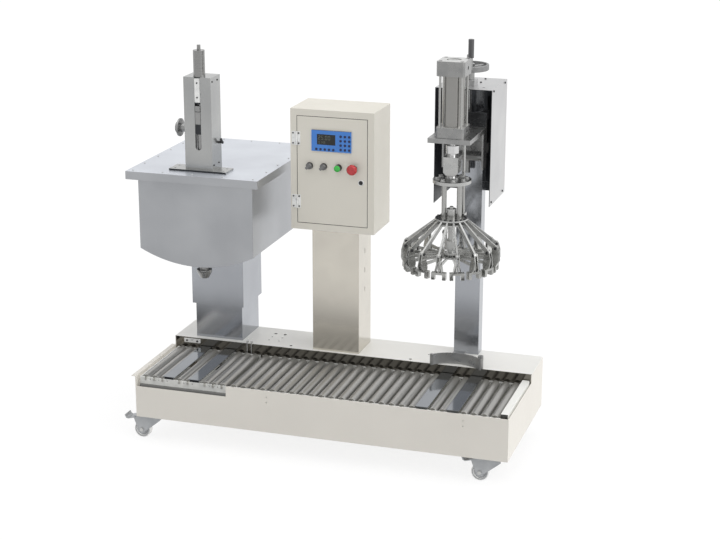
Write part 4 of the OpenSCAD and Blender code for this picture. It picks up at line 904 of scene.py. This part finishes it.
def makeFlag():
    mesh = bmesh.new()
    rows = [[mesh.verts.new((x, y, z)) for x in (flag["left"], flag["right"])] for y, z in (
        (flag["near"], flag["low"]), (flag["far"], flag["low"]), (flag["far"], flag["high"]))]
    for first, second in zip(rows, rows[1:]):
        mesh.faces.new((first[0], first[1], second[1], second[0]))
    coat, tree, _ = startCoat("flagGrey", 0.0, 1.0)
    place = tree.nodes.new("ShaderNodeTexCoord")
    axes = tree.nodes.new("ShaderNodeSeparateXYZ")
    away = tree.nodes.new("ShaderNodeMath")
    away.operation = "SUBTRACT"
    ranger = tree.nodes.new("ShaderNodeMapRange")
    ranger.interpolation_type = "SMOOTHSTEP"
    for label, (distance, level) in (("Min", flag["dark"]), ("Max", flag["light"])):
        ranger.inputs["From " + label].default_value = distance
        ranger.inputs["To " + label].default_value = level
    glow = tree.nodes.new("ShaderNodeEmission")
    tree.links.new(place.outputs["Object"], axes.inputs[0])
    tree.links.new(axes.outputs["Z"], away.inputs[0])
    tree.links.new(axes.outputs["Y"], away.inputs[1])
    tree.links.new(away.outputs[0], ranger.inputs["Value"])
    tree.links.new(ranger.outputs["Result"], glow.inputs["Strength"])
    tree.links.new(glow.outputs[0], tree.nodes["Material Output"].inputs["Surface"])
    stagePiece("greyFlag", mesh, coat, True)


lamps = {
    "keyLight": {"strength": 1.4, "spread": 60, "towards": (-0.86, 0.0, -0.5), "shadow": False},
    "topLight": {"strength": 0.9, "spread": 90, "towards": (0.05, 0.1, -1.0), "shadow": True},
}


def makeLamp(name, size):
    lamp = bpy.data.lights.new(name, "SUN")
    lamp.energy = size["strength"]
    lamp.angle = math.radians(size["spread"])
    lamp.use_shadow = size["shadow"]
    holder = bpy.data.objects.new(name, lamp)
    bpy.context.scene.collection.objects.link(holder)
    holder.rotation_mode = "QUATERNION"
    holder.rotation_quaternion = Vector(size["towards"]).to_track_quat("-Z", "Y")


makeWorld()
makeFloor()
makeFlag()
for name, size in lamps.items():
    makeLamp(name, size)

view = {"place": (2.2133, -6.67025, 2.8495), "heading": 17.61, "dip": 16.9, "roll": 0.11,
        "lens": 84.17, "sensor": 36, "clip": 100}
heading, dip = math.radians(view["heading"]), math.radians(view["dip"])
ahead = Vector((-math.sin(heading) * math.cos(dip), math.cos(heading) * math.cos(dip), -math.sin(dip)))
roll = Matrix.Rotation(math.radians(view["roll"]), 3, "Z").to_quaternion()
camera = bpy.data.objects.new("camera", bpy.data.cameras.new("camera"))
bpy.context.scene.collection.objects.link(camera)
camera.data.lens = view["lens"]
camera.data.sensor_width = view["sensor"]
camera.data.sensor_fit = "HORIZONTAL"
camera.data.clip_end = view["clip"]
camera.location = view["place"]
camera.rotation_mode = "QUATERNION"
camera.rotation_quaternion = ahead.to_track_quat("-Z", "Y") @ roll
bpy.context.scene.camera = camera
bpy.context.scene.view_settings.view_transform = "Standard"
print("stage, light and camera set")

low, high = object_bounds()
